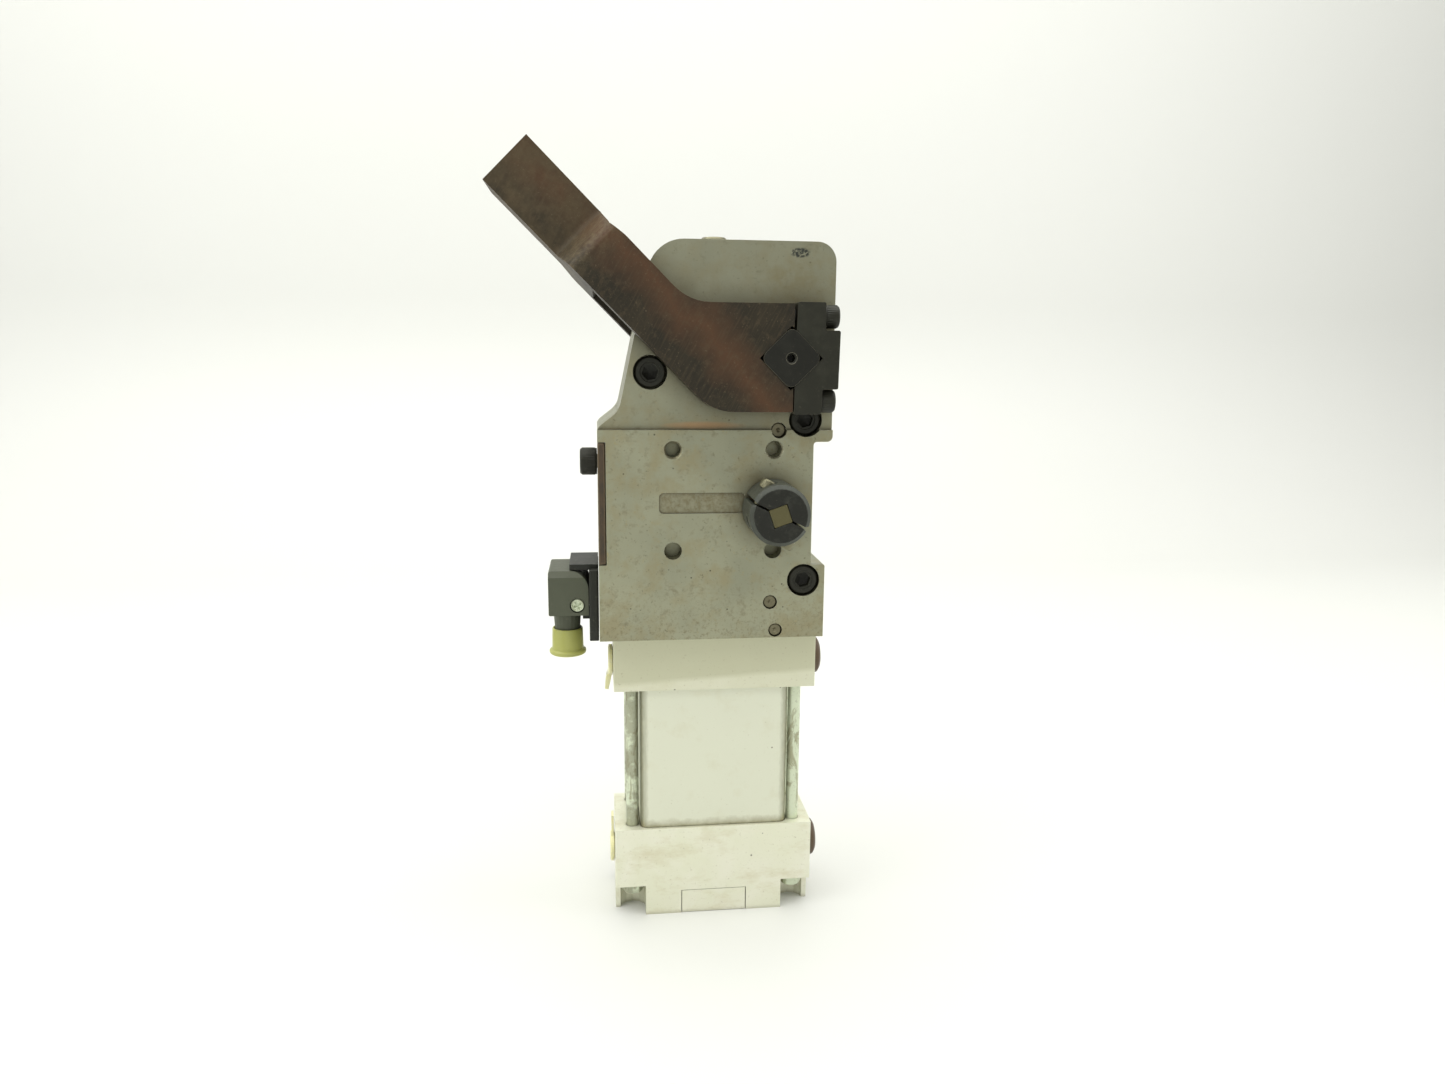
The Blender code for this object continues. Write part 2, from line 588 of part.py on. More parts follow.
def make_fork_arm(mats):
    arm = prism("fork_arm", leg_outline(), -LEG_OUT, LEG_OUT, "Y", mats["cast"])
    slot = prism("slot", rounded([along_arm(SLOT_END, 140.0), along_arm(SLOT_END, 225.0),
                                  (80.0, 330.0), (80.0, 200.0), (0.0, 140.0)]), -LEG_IN, LEG_IN)
    cut(arm, slot, jog_cutter(-1), jog_cutter(1))
    cut(arm, prism("seat", turned_square(ARM_X, ARM_Z, SHAFT_SQUARE + 2 * SNUG, math.pi / 4),
                   -50, 50))
    middle = (LEG_OUT + LEG_IN) / 2
    for side in (-1, 1):
        for dz, _ in CLAMP_SCREWS.values():
            cut(arm, bore((side * middle, ARM_Z + dz), 3.0 + GAP, 4.0, BASE_END + 2, "X"))
    return arm


CLAMP_HIGH, CLAMP_LOW = 23.4, -23.6          # the block's ends above and below the shaft
CLAMP_BOSS_HIGH, CLAMP_BOSS_LOW = 11.7, -13.0
CLAMP_BOSS_X = 49.5
CLAMP_TILT = 0.035                           # the block is pulled up a little askew


def make_clamps(mats):
    """A block on each leg that pulls the arm onto the shaft's square end."""
    def at(x, dz, radius=0.8):
        return (x + CLAMP_TILT / 2 * dz, ARM_Z + dz, radius)

    pieces = []
    middle = (LEG_OUT + LEG_IN) / 2
    left = BASE_END + 0.9
    low_seat, high_seat = (seat for _, seat in CLAMP_SCREWS.values())
    outline = rounded([
        at(left, CLAMP_LOW), at(low_seat, CLAMP_LOW), at(low_seat + 0.3, CLAMP_BOSS_LOW),
        at(CLAMP_BOSS_X, CLAMP_BOSS_LOW), at(CLAMP_BOSS_X, CLAMP_BOSS_HIGH),
        at(high_seat - 0.3, CLAMP_BOSS_HIGH), at(high_seat - 0.6, CLAMP_HIGH), at(left, CLAMP_HIGH),
    ])
    for side, place in ((-1, "front"), (1, "rear")):
        block = prism("clamp_block_" + place, outline, side * LEG_IN, side * LEG_OUT,
                      "Y", mats["black"])
        cut(block, prism("seat", turned_square(ARM_X, ARM_Z, SHAFT_SQUARE + 2 * SNUG, math.pi / 4),
                         side * (LEG_IN - 1), side * (LEG_OUT + 1)))
        for dz, _ in CLAMP_SCREWS.values():
            cut(block, bore((side * middle, ARM_Z + dz), 3.3, left - 3, high_seat + 3, "X"))
        pieces.append(block)
        for level, (dz, seat) in CLAMP_SCREWS.items():
            pieces.append(socket_screw("clamp_screw_%s_%s" % (place, level),
                                       (side * middle, ARM_Z + dz), 5.0, seat + GAP,
                                       seat + 6.6, 3.0, 6.0, "X", mats["black"]))
    return pieces


# ---------------------------------------------------------------- hand lever
HUB_R = 13.3
HUB_EDGE = 1.6
HUB_BACK, HUB_FRONT = 31.0, 54.0
HUB_SPLIT = math.radians(-26.5)    # slope of the split, seen from the front
HUB_GAP_HALF = 0.5
HUB_NOTCH_DEPTH, HUB_NOTCH_HALF = 2.6, 1.7   # the split widens at the rim
HUB_SCREW_Y = -44.0
HUB_SCREWS = {"upper": (1, 9.4, 6.9), "lower": (-1, 10.2, 8.0)}   # side, offset, head seat
HUB_SCREW_R, HUB_SCREW_HEAD_R, HUB_SCREW_HEAD = 1.7, 3.2, 4.3


def on_hub(along, across):
    """Point in X and Z from a distance along the split and one across it."""
    c, s = math.cos(HUB_SPLIT), math.sin(HUB_SPLIT)
    return (HAND_X + along * c - across * s, HAND_Z + along * s + across * c)


def hub_tool(name, along0, along1, across0, across1, y0, y1):
    corners = [on_hub(along0, across0), on_hub(along1, across0),
               on_hub(along1, across1), on_hub(along0, across1)]
    return prism(name, corners, y0, y1)


def hub_screw_place(side, offset):
    """Turns a screw made along Z at the origin into its place across the hub's split."""
    x, z = on_hub(-side * offset, 0.0)
    tilt = -HUB_SPLIT if side > 0 else math.pi - HUB_SPLIT
    return Matrix.Translation(Vector((x, HUB_SCREW_Y, z)) * MM) @ Matrix.Rotation(tilt, 4, "Y")


def hub_notch(end):
    """The V at one end of the hub's split."""
    near, far = end * (HUB_R - HUB_NOTCH_DEPTH), end * (HUB_R + 1.0)
    corners = [on_hub(near, 0.0), on_hub(far, HUB_NOTCH_HALF), on_hub(far, -HUB_NOTCH_HALF)]
    return prism("notch", corners, -60, -20)


def make_hub(mats):
    pieces = []
    for place, (side, offset, seat_height) in HUB_SCREWS.items():
        half = turned("hub_half_" + place,
                      [(0.0, -HUB_BACK), (HUB_R, -HUB_BACK), (HUB_R, -HUB_FRONT + HUB_EDGE),
                       (HUB_R - HUB_EDGE, -HUB_FRONT), (0.0, -HUB_FRONT)],
                      (HAND_X, HAND_Z), "Y", mats["black"], 36)
        cut(half, hub_tool("other_half", -20, 20, side * HUB_GAP_HALF, -side * 20, -60, -20))
        cut(half, prism("seat", turned_square(HAND_X, HAND_Z, HAND_SQUARE + 2 * GAP,
                                              HAND_SQUARE_ANGLE), -60, -20))
        cut(half, hub_notch(1), hub_notch(-1))
        for own, own_offset, _ in HUB_SCREWS.values():
            clear = rod("clear", (0, 0), HUB_SCREW_R + GAP, -12, 20, "Z", segments=12)
            clear.data.transform(hub_screw_place(own, own_offset))
            cut(half, clear)
        seat = rod("seat", (0, 0), HUB_SCREW_HEAD_R + 0.6, seat_height, 20, "Z", segments=16)
        seat.data.transform(hub_screw_place(side, offset))
        cut(half, seat)
        pieces.append(half)
        screw = socket_screw("hub_screw_" + place, (0, 0), HUB_SCREW_HEAD_R, seat_height + GAP,
                             seat_height + HUB_SCREW_HEAD, HUB_SCREW_R, -7.0, "Z", mats["zinc"])
        screw.data.transform(hub_screw_place(side, offset))
        pieces.append(screw)
    return pieces


def make_hand_drive(mats):
    shaft = rod("hand_shaft", (HAND_X, HAND_Z), HAND_R, -FACE_RAISED, FACE_RAISED - 1.0,
                "Y", mats["hardened"], 24)
    square = turned_square(HAND_X, HAND_Z, HAND_SQUARE, HAND_SQUARE_ANGLE, 0.4)
    fuse(shaft, prism("square", square, -HUB_FRONT + 0.2, -20.0))
    finger, far = forked_lever("hand_finger", HAND_X, HAND_Z, 12.0, 7.0, 11.0, HAND_R + GAP,
                               HAND_SLOT_BEHIND, mats["hardened"])
    fuse(finger, rod("finger_pin", tuple(far), 6.0, -8.0, 8.0, segments=16))
    return [shaft, finger]


# ---------------------------------------------------------------- cylinder
def barrel_outline(grow=0.0):
    return rectangle(-BARREL_X - grow, BARREL_X + grow, -BARREL_Y - grow, BARREL_Y + grow,
                     BARREL_CORNER + grow)


def barrel_seat(low, high):
    """The groove that a cap holds the barrel's end in."""
    seat = prism("seat", barrel_outline(GAP), low, high, "Z")
    return cut(seat, prism("inside", stadium(BORE_X - GAP, BORE_Y - GAP), low - 1, high + 1, "Z"))


def make_cylinder(mats):
    barrel = prism("barrel", barrel_outline(), LOWER_CAP_TOP - BARREL_SEAT,
                   UPPER_CAP_BOTTOM + BARREL_SEAT, "Z", mats["aluminium"])
    cut(barrel, prism("bore", stadium(BORE_X, BORE_Y), 0, 200, "Z"))

    cap_top = HEAD_BOTTOM - GAP
    upper = prism("top_cap", rectangle(-CAP_X, CAP_X, -CAP_Y, CAP_Y, 0.6),
                  UPPER_CAP_BOTTOM, cap_top, "Z", mats["aluminium"])
    cut(upper, barrel_seat(UPPER_CAP_BOTTOM - 1, UPPER_CAP_BOTTOM + BARREL_SEAT + GAP))
    cut(upper, turned("throat", [(0.0, 110.0), (ROD_R + 0.8, 110.0), (ROD_R + 0.8, 117.0),
                                 (13.3, 117.0), (13.3, 123.6), (12.8, 123.6),
                                 (12.8, 145.0), (0.0, 145.0)], (0, 0), "Z"))

    lower = prism("bottom_cap", rectangle(-CAP_X, CAP_X, -CAP_Y, CAP_Y, 0.6),
                  0.0, LOWER_CAP_TOP, "Z", mats["aluminium"])
    for side_x in (-1, 1):
        for side_y in (-1, 1):
            cut(lower, prism("pocket", rectangle(*sorted((side_x * (FOOT_X + 0.5), side_x * 60)),
                                                 *sorted((side_y * POCKET_Y, side_y * 40))),
                             -5.0, FOOT_H, "Z"))
            cut(lower, bore((side_x * TIE_X, side_y * TIE_Y), 6.4, -5.0, FOOT_H, "Z"))
    cut(lower, barrel_seat(LOWER_CAP_TOP - BARREL_SEAT - GAP, LOWER_CAP_TOP + 1))
    cut(lower, bore((0, 0), 10.0, 34.5, LOWER_CAP_TOP + 1, "Z", segments=20))
    cut(lower, prism("key_slot", rectangle(-15.5 - GAP, 15.5 + GAP, -CAP_Y - 2, -15.0),
                     -1.0, 11.6 + GAP, "Z"))
    prism("foot_insert", rectangle(-15.5, 15.5, -CAP_Y + 0.1, -15.0 - GAP), 0.2, 11.6,
          "Z", mats["aluminium"])

    for cap, z, face in ((upper, PORT_HIGH_Z, UPPER_CAP_BOTTOM - 1),
                         (lower, PORT_LOW_Z, LOWER_CAP_TOP + 1)):
        for side in (-1, 1):
            cut(cap, bore((0.0, z), PORT_R, side * 34.5, side * 60.0, "X", 16))
            cut(cap, bore((0.0, z), AIR_R, side * (AIR_X + 1.0), side * 36.0, "X", 8))
            cut(cap, bore((side * AIR_X, 0.0), AIR_R, *sorted((z, face)), "Z", 8))
            for side_y in (-1, 1):
                cut(cap, bore((side * TIE_X, side_y * TIE_Y), TIE_R + GAP, 5.0, 150.0, "Z"))

    for side_x, x_name in ((-1, "left"), (1, "right")):
        for side_y, y_name in ((-1, "front"), (1, "rear")):
            place = (side_x * TIE_X, side_y * TIE_Y)
            tie = rod("tie_rod_%s_%s" % (y_name, x_name), place, TIE_R, FOOT_H - 3.0,
                      HEAD_BOTTOM + 10.0, "Z", mats["zinc"], 12)
            fuse(tie, prism("hex", circle(*place, 5.75, 6), FOOT_H - GAP - 4.6, FOOT_H - GAP, "Z"))

    ring("rod_seal", (0, 0), ROD_R + GAP, 13.0, 117.3, 123.3, "Z", mats["rubber"])
    ring("rod_bush", (0, 0), ROD_R + GAP, 12.5, 124.0, cap_top - 0.2, "Z", mats["bronze"])


DUST_FLANGE_R, DUST_FLANGE_T = 7.4, 2.3
# Outlines of the pull tabs: distance off the cap's face, and height off the port's middle
DUST_TABS = {
    "upper": [(0.5, -5.0), (2.2, -5.0), (3.4, -7.8), (4.0, -13.8), (2.3, -14.2), (1.0, -8.4)],
    "lower": [(0.5, 5.0), (1.7, 5.0), (1.7, 17.0), (0.5, 17.2)],
}


def make_port_fittings(mats):
    """Threaded plugs in the right-hand ports, push-in dust plugs in the left-hand ones."""
    for place, z in (("upper", PORT_HIGH_Z), ("lower", PORT_LOW_Z)):
        plug = turned("port_plug_" + place,
                      [(0.0, 38.0), (PORT_R - GAP, 38.0), (PORT_R - GAP, CAP_X + GAP),
                       (9.0, CAP_X + GAP), (9.0, CAP_X + 4.4), (7.6, CAP_X + PORT_PLUG_OUT),
                       (0.0, CAP_X + PORT_PLUG_OUT)], (0.0, z), "X", mats["brown"])
        cut(plug, prism("socket", circle(0.0, z, 4.6, 6), CAP_X + 2.0, CAP_X + 9.0, "X"))
        cap = turned("dust_plug_" + place,
                     [(0.0, -40.0), (PORT_R - 0.5, -40.0), (PORT_R - GAP, -CAP_X - GAP),
                      (DUST_FLANGE_R, -CAP_X - GAP), (DUST_FLANGE_R, -CAP_X - DUST_FLANGE_T + 0.5),
                      (DUST_FLANGE_R - 0.6, -CAP_X - DUST_FLANGE_T),
                      (0.0, -CAP_X - DUST_FLANGE_T)], (0.0, z), "X", mats["yellow"])
        tab = [(-CAP_X - out, z + rise) for out, rise in DUST_TABS[place]]
        fuse(cap, prism("tab", tab, -3.0, 3.0))


# ---------------------------------------------------------------- sensor socket
def make_sensor(mats):
    left = HEAD_LEFT - GAP
    plate_left = left - SENSOR_PLATE_T
    plate = prism("sensor_plate", rectangle(plate_left, left, -15.0, 20.0, 0.8),
                  SENSOR_LOW, SENSOR_HIGH, "Z", mats["black"])
    fuse(plate, prism("ledge", rectangle(plate_left - 9.0, left - 0.1, -9.6, 19.5, 0.8),
                      PLUG_HIGH + GAP, LEDGE_HIGH, "Z"),
         prism("lug", rectangle(plate_left - 3.2, plate_left + 1, -8.0, 8.0, 0.5),
               PLUG_LOW - 2.8, PLUG_LOW - GAP, "Z"))
    plug_right = plate_left - GAP
    plug_left = plug_right - PLUG_W
    plug = prism("sensor_plug", rounded([
        (plug_left, PLUG_LOW, 0.8), (plug_right, PLUG_LOW), (plug_right, PLUG_HIGH, PLUG_ROUND),
        (plug_left, PLUG_HIGH, 1.0)], FINE), PLUG_FRONT, PLUG_BACK, "Y", mats["grey"])
    front, top = PLUG_FRONT + PLUG_BEVEL, PLUG_HIGH - PLUG_BEVEL
    bevel = prism("front_bevel", [(PLUG_FRONT - 2.0, top), (PLUG_FRONT, top), (front, PLUG_HIGH),
                                  (front, PLUG_HIGH + 1.0), (PLUG_FRONT - 2.0, PLUG_HIGH + 1.0)],
                  plug_left - 1, plug_right + 1, "X")
    screw = (plug_right - PLUG_SCREW_IN, PLUG_SCREW_Z)
    cut(plug, bevel, bore(screw, PLUG_SCREW_R + 0.4, -20.0, PLUG_FRONT + 3.4, segments=16))
    socket_screw("plug_screw", screw, PLUG_SCREW_R, PLUG_FRONT + 3.0, PLUG_FRONT + 0.6, 1.5,
                 PLUG_FRONT + 3.2, "Y", mats["zinc"])
    turned("connector_neck", [(0.0, PLUG_LOW - GAP), (6.5, PLUG_LOW - GAP), (5.8, 137.0),
                              (5.8, 131.0), (0.0, 131.0)], (PLUG_X, 0.0), "Z", mats["grey"])
    turned("dust_cap", [(0.0, DUST_CAP_LOW), (8.7, DUST_CAP_LOW), (8.7, DUST_CAP_LOW + 2.0),
                        (7.4, DUST_CAP_LOW + 2.4), (7.2, DUST_CAP_HIGH),
                        (6.4, DUST_CAP_HIGH), (6.4, 130.6), (0.0, 130.6)],
           (PLUG_X, 0.0), "Z", mats["yellow"])
    cassette = prism("sensor_cassette", rectangle(-47.5, -23.0, 180.5, 223.5, 1.0),
                     -8.8, 8.8, "Y", mats["black"])
    cut(cassette, bore((0.0, COVER_SCREW_Z), 3.6, -50.0, -41.0, "X"))
    fuse(cassette, prism("tail", rectangle(-47.0, -34.0, 154.0, 182.0, 1.0), -5.4, 5.4))


# ---------------------------------------------------------------- assembly
def pivot(name, x, y, z, pieces):
    """An empty on a joint's axis that carries the pieces of one moving body."""
    empty = bpy.data.objects.new(name, None)
    bpy.context.collection.objects.link(empty)
    empty.location = Vector((x, y, z)) * MM
    bpy.context.view_layer.update()
    for piece in pieces:
        piece.parent = empty
        piece.matrix_parent_inverse = empty.matrix_world.inverted()
    return empty


def main():
    for obj in list(bpy.data.objects):
        bpy.data.objects.remove(obj)
    mats = make_materials()
    make_head(mats)
    make_bearings(mats)
    make_cylinder(mats)
    make_port_fittings(mats)
    make_sensor(mats)
    arm_pieces, roller = make_arm_drive(mats)
    arm_pieces += [make_fork_arm(mats), *make_clamps(mats)]
    pivot("arm_axis", ARM_X, 0.0, ARM_Z, arm_pieces)
    far = Vector((ARM_X, ARM_Z)) + lever_direction(LEVER_START) * LEVER_R
    pivot("roller_axis", far.x, 0.0, far.y, [roller])
    pivot("rod_axis", 0.0, 0.0, CROSS_BOTTOM, make_piston(mats) + make_crosshead(mats))
    pivot("hand_axis", HAND_X, 0.0, HAND_Z, make_hand_drive(mats) + make_hub(mats))


main()
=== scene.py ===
"""Looks for the pneumatic clamping gripper: materials, fine parts, light and camera.

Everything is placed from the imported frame. Lengths in the constants are millimetres, apart
from the stage's, and MM turns them into metres where they are used.
"""

import json
import math

import bmesh
import bpy
from mathutils import Matrix, Vector

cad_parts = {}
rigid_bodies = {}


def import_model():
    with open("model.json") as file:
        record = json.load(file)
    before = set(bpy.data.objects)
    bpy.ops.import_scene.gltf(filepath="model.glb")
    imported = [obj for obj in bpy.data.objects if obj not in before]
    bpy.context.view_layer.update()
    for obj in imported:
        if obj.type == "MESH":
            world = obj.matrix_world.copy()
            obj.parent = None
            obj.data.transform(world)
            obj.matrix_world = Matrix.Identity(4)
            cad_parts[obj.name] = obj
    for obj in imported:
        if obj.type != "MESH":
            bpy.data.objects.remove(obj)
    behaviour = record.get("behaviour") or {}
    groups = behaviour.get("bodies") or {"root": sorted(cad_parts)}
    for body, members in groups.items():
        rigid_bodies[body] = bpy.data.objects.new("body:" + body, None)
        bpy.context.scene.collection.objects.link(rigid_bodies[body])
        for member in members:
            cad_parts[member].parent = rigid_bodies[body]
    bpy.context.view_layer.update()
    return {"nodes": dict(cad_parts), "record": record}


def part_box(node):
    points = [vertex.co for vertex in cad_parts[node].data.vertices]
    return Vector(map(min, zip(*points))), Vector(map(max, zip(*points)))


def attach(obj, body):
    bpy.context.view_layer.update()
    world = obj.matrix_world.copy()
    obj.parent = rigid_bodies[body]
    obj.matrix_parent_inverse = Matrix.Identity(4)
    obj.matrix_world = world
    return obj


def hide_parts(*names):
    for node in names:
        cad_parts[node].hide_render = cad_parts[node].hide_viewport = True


for old in list(bpy.data.objects):
    bpy.data.objects.remove(old)

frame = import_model()
NODES = frame["nodes"]

MM = 0.001
TURN = 2.0 * math.pi
DIAGONAL = math.sqrt(0.5)
CREASE = math.radians(35.0)         # edges of CAD nodes sharper than this are broken
SHARP = math.radians(28.0)          # edges of turned pieces sharper than this stay crisp
WELD_REACH = 0.01                   # corners of facets closer than this are merged

# Body names
FRAME, ARM, HAND = "frame", "arm", "hand_lever"

# Places in the frame that marks and finishes refer to
STEP_Z = 235.2                      # edge between the recessed and the raised face
FLECK_LOW, FLECK_HIGH = 141.0, 172.0    # the steel's lower edge, where flecks gather
OUTER_FACE = (27.2, 27.6)           # |Y| at which a side face of the head begins
FIELD_FLOOR = (-29.8, -29.6, -28.9, -28.7)  # Y at which the blank field's floor fades in, out
COPPER_STRIP = (-7.0, STEP_Z + 1.8, 20.0, 2.1)  # X, Z, half width and half height of marks
OLIVE_STAIN = (34.0, 297.0, 26.0, 18.0)         # the same four of a stain
INK_SMUDGE = (34.5, 311.2, 4.8, 2.3)            # and of a smudge in the upper corner
UPPER_CAP_Z = 100.0                 # a height between the two caps
FLOOR_REFLECTION_Z = 119.0                  # below this the upper cap shows paler, a painted reflection of the floor
BARREL_FACE = (12.0, 17.5)          # |Y| over which the barrel's side turns into its face
ARM_BAND = 190.0                    # heat-tinted band along the arm, across its length
ARM_JOG = (250.0, 262.0, 268.0)     # shoulder, start and end of the jog, along its length
HAND_AXIS = (23.5, 200.5)           # X and Z of the line the hand lever turns about
HUB_SPLIT = math.radians(-26.5)     # slope of the gap between the hub's halves
HUB_RIM = (11.7, 12.5)              # radii over which the hub's dark face turns grey, rubbed metal with a painted highlight
GROOVE_PITCH = 0.9                  # of the turning marks on the hub's face

# Camera
IMAGE_SIZE = (1445, 1084)           # pixels
CAMERA_PLACE = (-52.6, -468.7, 267.9)
CAMERA_YAW, CAMERA_PITCH, CAMERA_ROLL = (math.radians(a) for a in (-7.04, 10.58, 0.54))
FOCAL_PX = 1005.0                   # focal length in pixels
SENSOR_WIDTH = 36.0
CLIP_START = 10.0

# Stage, in metres: how far back the wall stands, its height, the radius of the bend between
# it and the floor, and how far the floor reaches to either side and to the front
WALL_BACK, WALL_HEIGHT, FLOOR_BEND, FLOOR_REACH = 1.1, 2.2, 0.35, 3.0
BEND_STEPS = 12
FLOOR_COLOUR = (0.66, 0.665, 0.645)
ROOM_COLOUR, ROOM_STRENGTH = (1.0, 1.0, 0.955, 1.0), 0.36
LAMP_COLOUR = (1.0, 1.0, 0.96)
LAMPS = (
    # name, place, target, size (metres), power (watts)
    ("top_light", (-0.15, -0.25, 2.0), (0.0, 0.0, 0.1), (3.0, 2.3), 56.0),
    ("left_light", (-1.2, -0.5, 0.8), (0.0, 0.0, 0.2), (0.8, 1.0), 6.0),
    ("right_light", (1.2, -0.2, 0.7), (0.0, 0.0, 0.2), (0.8, 1.0), 5.0),
    ("front_light", (-0.1, -1.3, 0.45), (0.0, 0.0, 0.2), (0.5, 0.4), 1.0),
    ("back_wall_light", (0.0, 0.2, 1.5), (0.0, 1.1, 0.5), (3.0, 0.5), 8.0),
)


# ---------------------------------------------------------------- node trees
class Shader:
    """A material's node tree with short calls for the nodes used here."""

    def __init__(self, name, colour, roughness, metallic, shine=0.5):
        self.material = bpy.data.materials.new(name)
        self.material.use_nodes = True
        self.tree = self.material.node_tree
        self.bsdf = self.tree.nodes["Principled BSDF"]
        self.bsdf.inputs["Metallic"].default_value = metallic
        self.bsdf.inputs["Roughness"].default_value = roughness
        self.bsdf.inputs["Specular IOR Level"].default_value = shine
        self.bsdf.inputs["Base Color"].default_value = (*colour, 1.0)
        self.material.diffuse_color = (*colour, 1.0)
        self.where = self.tree.nodes.new("ShaderNodeTexCoord").outputs["Object"]
        self.colour = self.constant(colour)
        self.roughness = None
        self.height = None
        self.base_roughness = roughness

    def link(self, source, target):
        self.tree.links.new(source, target)

    def constant(self, colour):
        node = self.tree.nodes.new("ShaderNodeRGB")
        node.outputs[0].default_value = (*colour, 1.0)
        return node.outputs[0]

    def stretched(self, scale, offset=(0.0, 0.0, 0.0), lean=0.0):
        """The place, leaned about Y by an angle and then stretched."""
        turned = self.tree.nodes.new("ShaderNodeMapping")
        turned.inputs["Rotation"].default_value = (0.0, lean, 0.0)
        self.link(self.where, turned.inputs["Vector"])
        node = self.tree.nodes.new("ShaderNodeMapping")
        node.inputs["Scale"].default_value = scale
        node.inputs["Location"].default_value = offset
        self.link(turned.outputs["Vector"], node.inputs["Vector"])
        return node.outputs["Vector"]

    def noise(self, size_mm, detail=4.0, rough=0.55, stretch=(1.0, 1.0, 1.0), offset=0.0,
              distortion=0.0, lean=0.0):
        """Cloudy noise whose features are about size_mm across."""
        node = self.tree.nodes.new("ShaderNodeTexNoise")
        scale = tuple(s / (size_mm * MM) for s in stretch)
        self.link(self.stretched(scale, (offset, offset * 0.7, offset * 1.3), lean),
                  node.inputs["Vector"])
        node.inputs["Scale"].default_value = 1.0
        node.inputs["Detail"].default_value = detail
        node.inputs["Roughness"].default_value = rough
        node.inputs["Distortion"].default_value = distortion
        return node.outputs["Fac"]

    def cells(self, size_mm, offset=0.0):
        """Distance to the nearest of scattered points, about size_mm apart."""
        node = self.tree.nodes.new("ShaderNodeTexVoronoi")
        scale = 1.0 / (size_mm * MM)
        self.link(self.stretched((scale, scale, scale), (offset, offset, offset)),
                  node.inputs["Vector"])
        node.inputs["Scale"].default_value = 1.0
        return node.outputs["Distance"]

    def crevice(self, reach_mm):
        """1 in the open, less where other surfaces are close."""
        node = self.tree.nodes.new("ShaderNodeAmbientOcclusion")
        node.samples = 6
        node.inputs["Distance"].default_value = reach_mm * MM
        return node.outputs["AO"]

    def remap(self, value, low, high, to_low=0.0, to_high=1.0):
        node = self.tree.nodes.new("ShaderNodeMapRange")
        node.inputs["From Min"].default_value = low
        node.inputs["From Max"].default_value = high
        node.inputs["To Min"].default_value = to_low
        node.inputs["To Max"].default_value = to_high
        self.link(value, node.inputs["Value"])
        return node.outputs["Result"]

    def math(self, operation, a, b):
        node = self.tree.nodes.new("ShaderNodeMath")
        node.operation = operation
        for value, socket in ((a, node.inputs[0]), (b, node.inputs[1])):
            if isinstance(value, (int, float)):
                socket.default_value = value
            else:
                self.link(value, socket)
        return node.outputs[0]

    def axis(self, name):
        node = self.tree.nodes.new("ShaderNodeSeparateXYZ")
        self.link(self.where, node.inputs[0])
        return node.outputs[name]

    def plane(self, x_share, z_share):
        """Distance in metres across a direction in the X-Z plane."""
        return self.math("ADD", self.math("MULTIPLY", self.axis("X"), x_share),
                         self.math("MULTIPLY", self.axis("Z"), z_share))

    def patch(self, x_mm, z_mm, half_x, half_z, soft=0.6):
        """1 in the middle of an oval patch of a side face, fading to 0 at its rim."""
        dx = self.math("DIVIDE", self.math("SUBTRACT", self.axis("X"), x_mm * MM), half_x * MM)
        dz = self.math("DIVIDE", self.math("SUBTRACT", self.axis("Z"), z_mm * MM), half_z * MM)
        far = self.math("ADD", self.math("MULTIPLY", dx, dx), self.math("MULTIPLY", dz, dz))
        return self.remap(far, 1.0 - soft, 1.0, 1.0, 0.0)

    def both(self, a, b):
        return self.math("MULTIPLY", a, b)

    def size_of(self, value):
        return self.math("ABSOLUTE", value, 0.0)

    def tint(self, factor, colour, blend="MIX"):
        """Blend a colour into the base colour by a factor."""
        node = self.tree.nodes.new("ShaderNodeMix")
        node.data_type = "RGBA"
        node.blend_type = blend
        if isinstance(factor, (int, float)):
            node.inputs["Factor"].default_value = factor
        else:
            self.link(factor, node.inputs["Factor"])
        self.link(self.colour, node.inputs[6])
        node.inputs[7].default_value = (*colour, 1.0)
        self.colour = node.outputs[2]

    def vary_roughness(self, value, amount):
        """Add amount times (value - 0.5) to the roughness."""
        shift = self.math("MULTIPLY", self.math("SUBTRACT", value, 0.5), amount)
        base = self.base_roughness if self.roughness is None else self.roughness
        self.roughness = self.math("ADD", shift, base)

    def raise_height(self, value, depth_mm):
        """Add depth_mm of relief where value is 1."""
        step = self.math("MULTIPLY", value, depth_mm * MM)
        self.height = step if self.height is None else self.math("ADD", self.height, step)

    def finish(self):
        self.link(self.colour, self.bsdf.inputs["Base Color"])
        if self.roughness is not None:
            self.link(self.roughness, self.bsdf.inputs["Roughness"])
        if self.height is not None:
            bump = self.tree.nodes.new("ShaderNodeBump")
            bump.inputs["Distance"].default_value = 1.0
            bump.inputs["Strength"].default_value = 1.0
            self.link(self.height, bump.inputs["Height"])
            self.link(bump.outputs["Normal"], self.bsdf.inputs["Normal"])
        return self.material


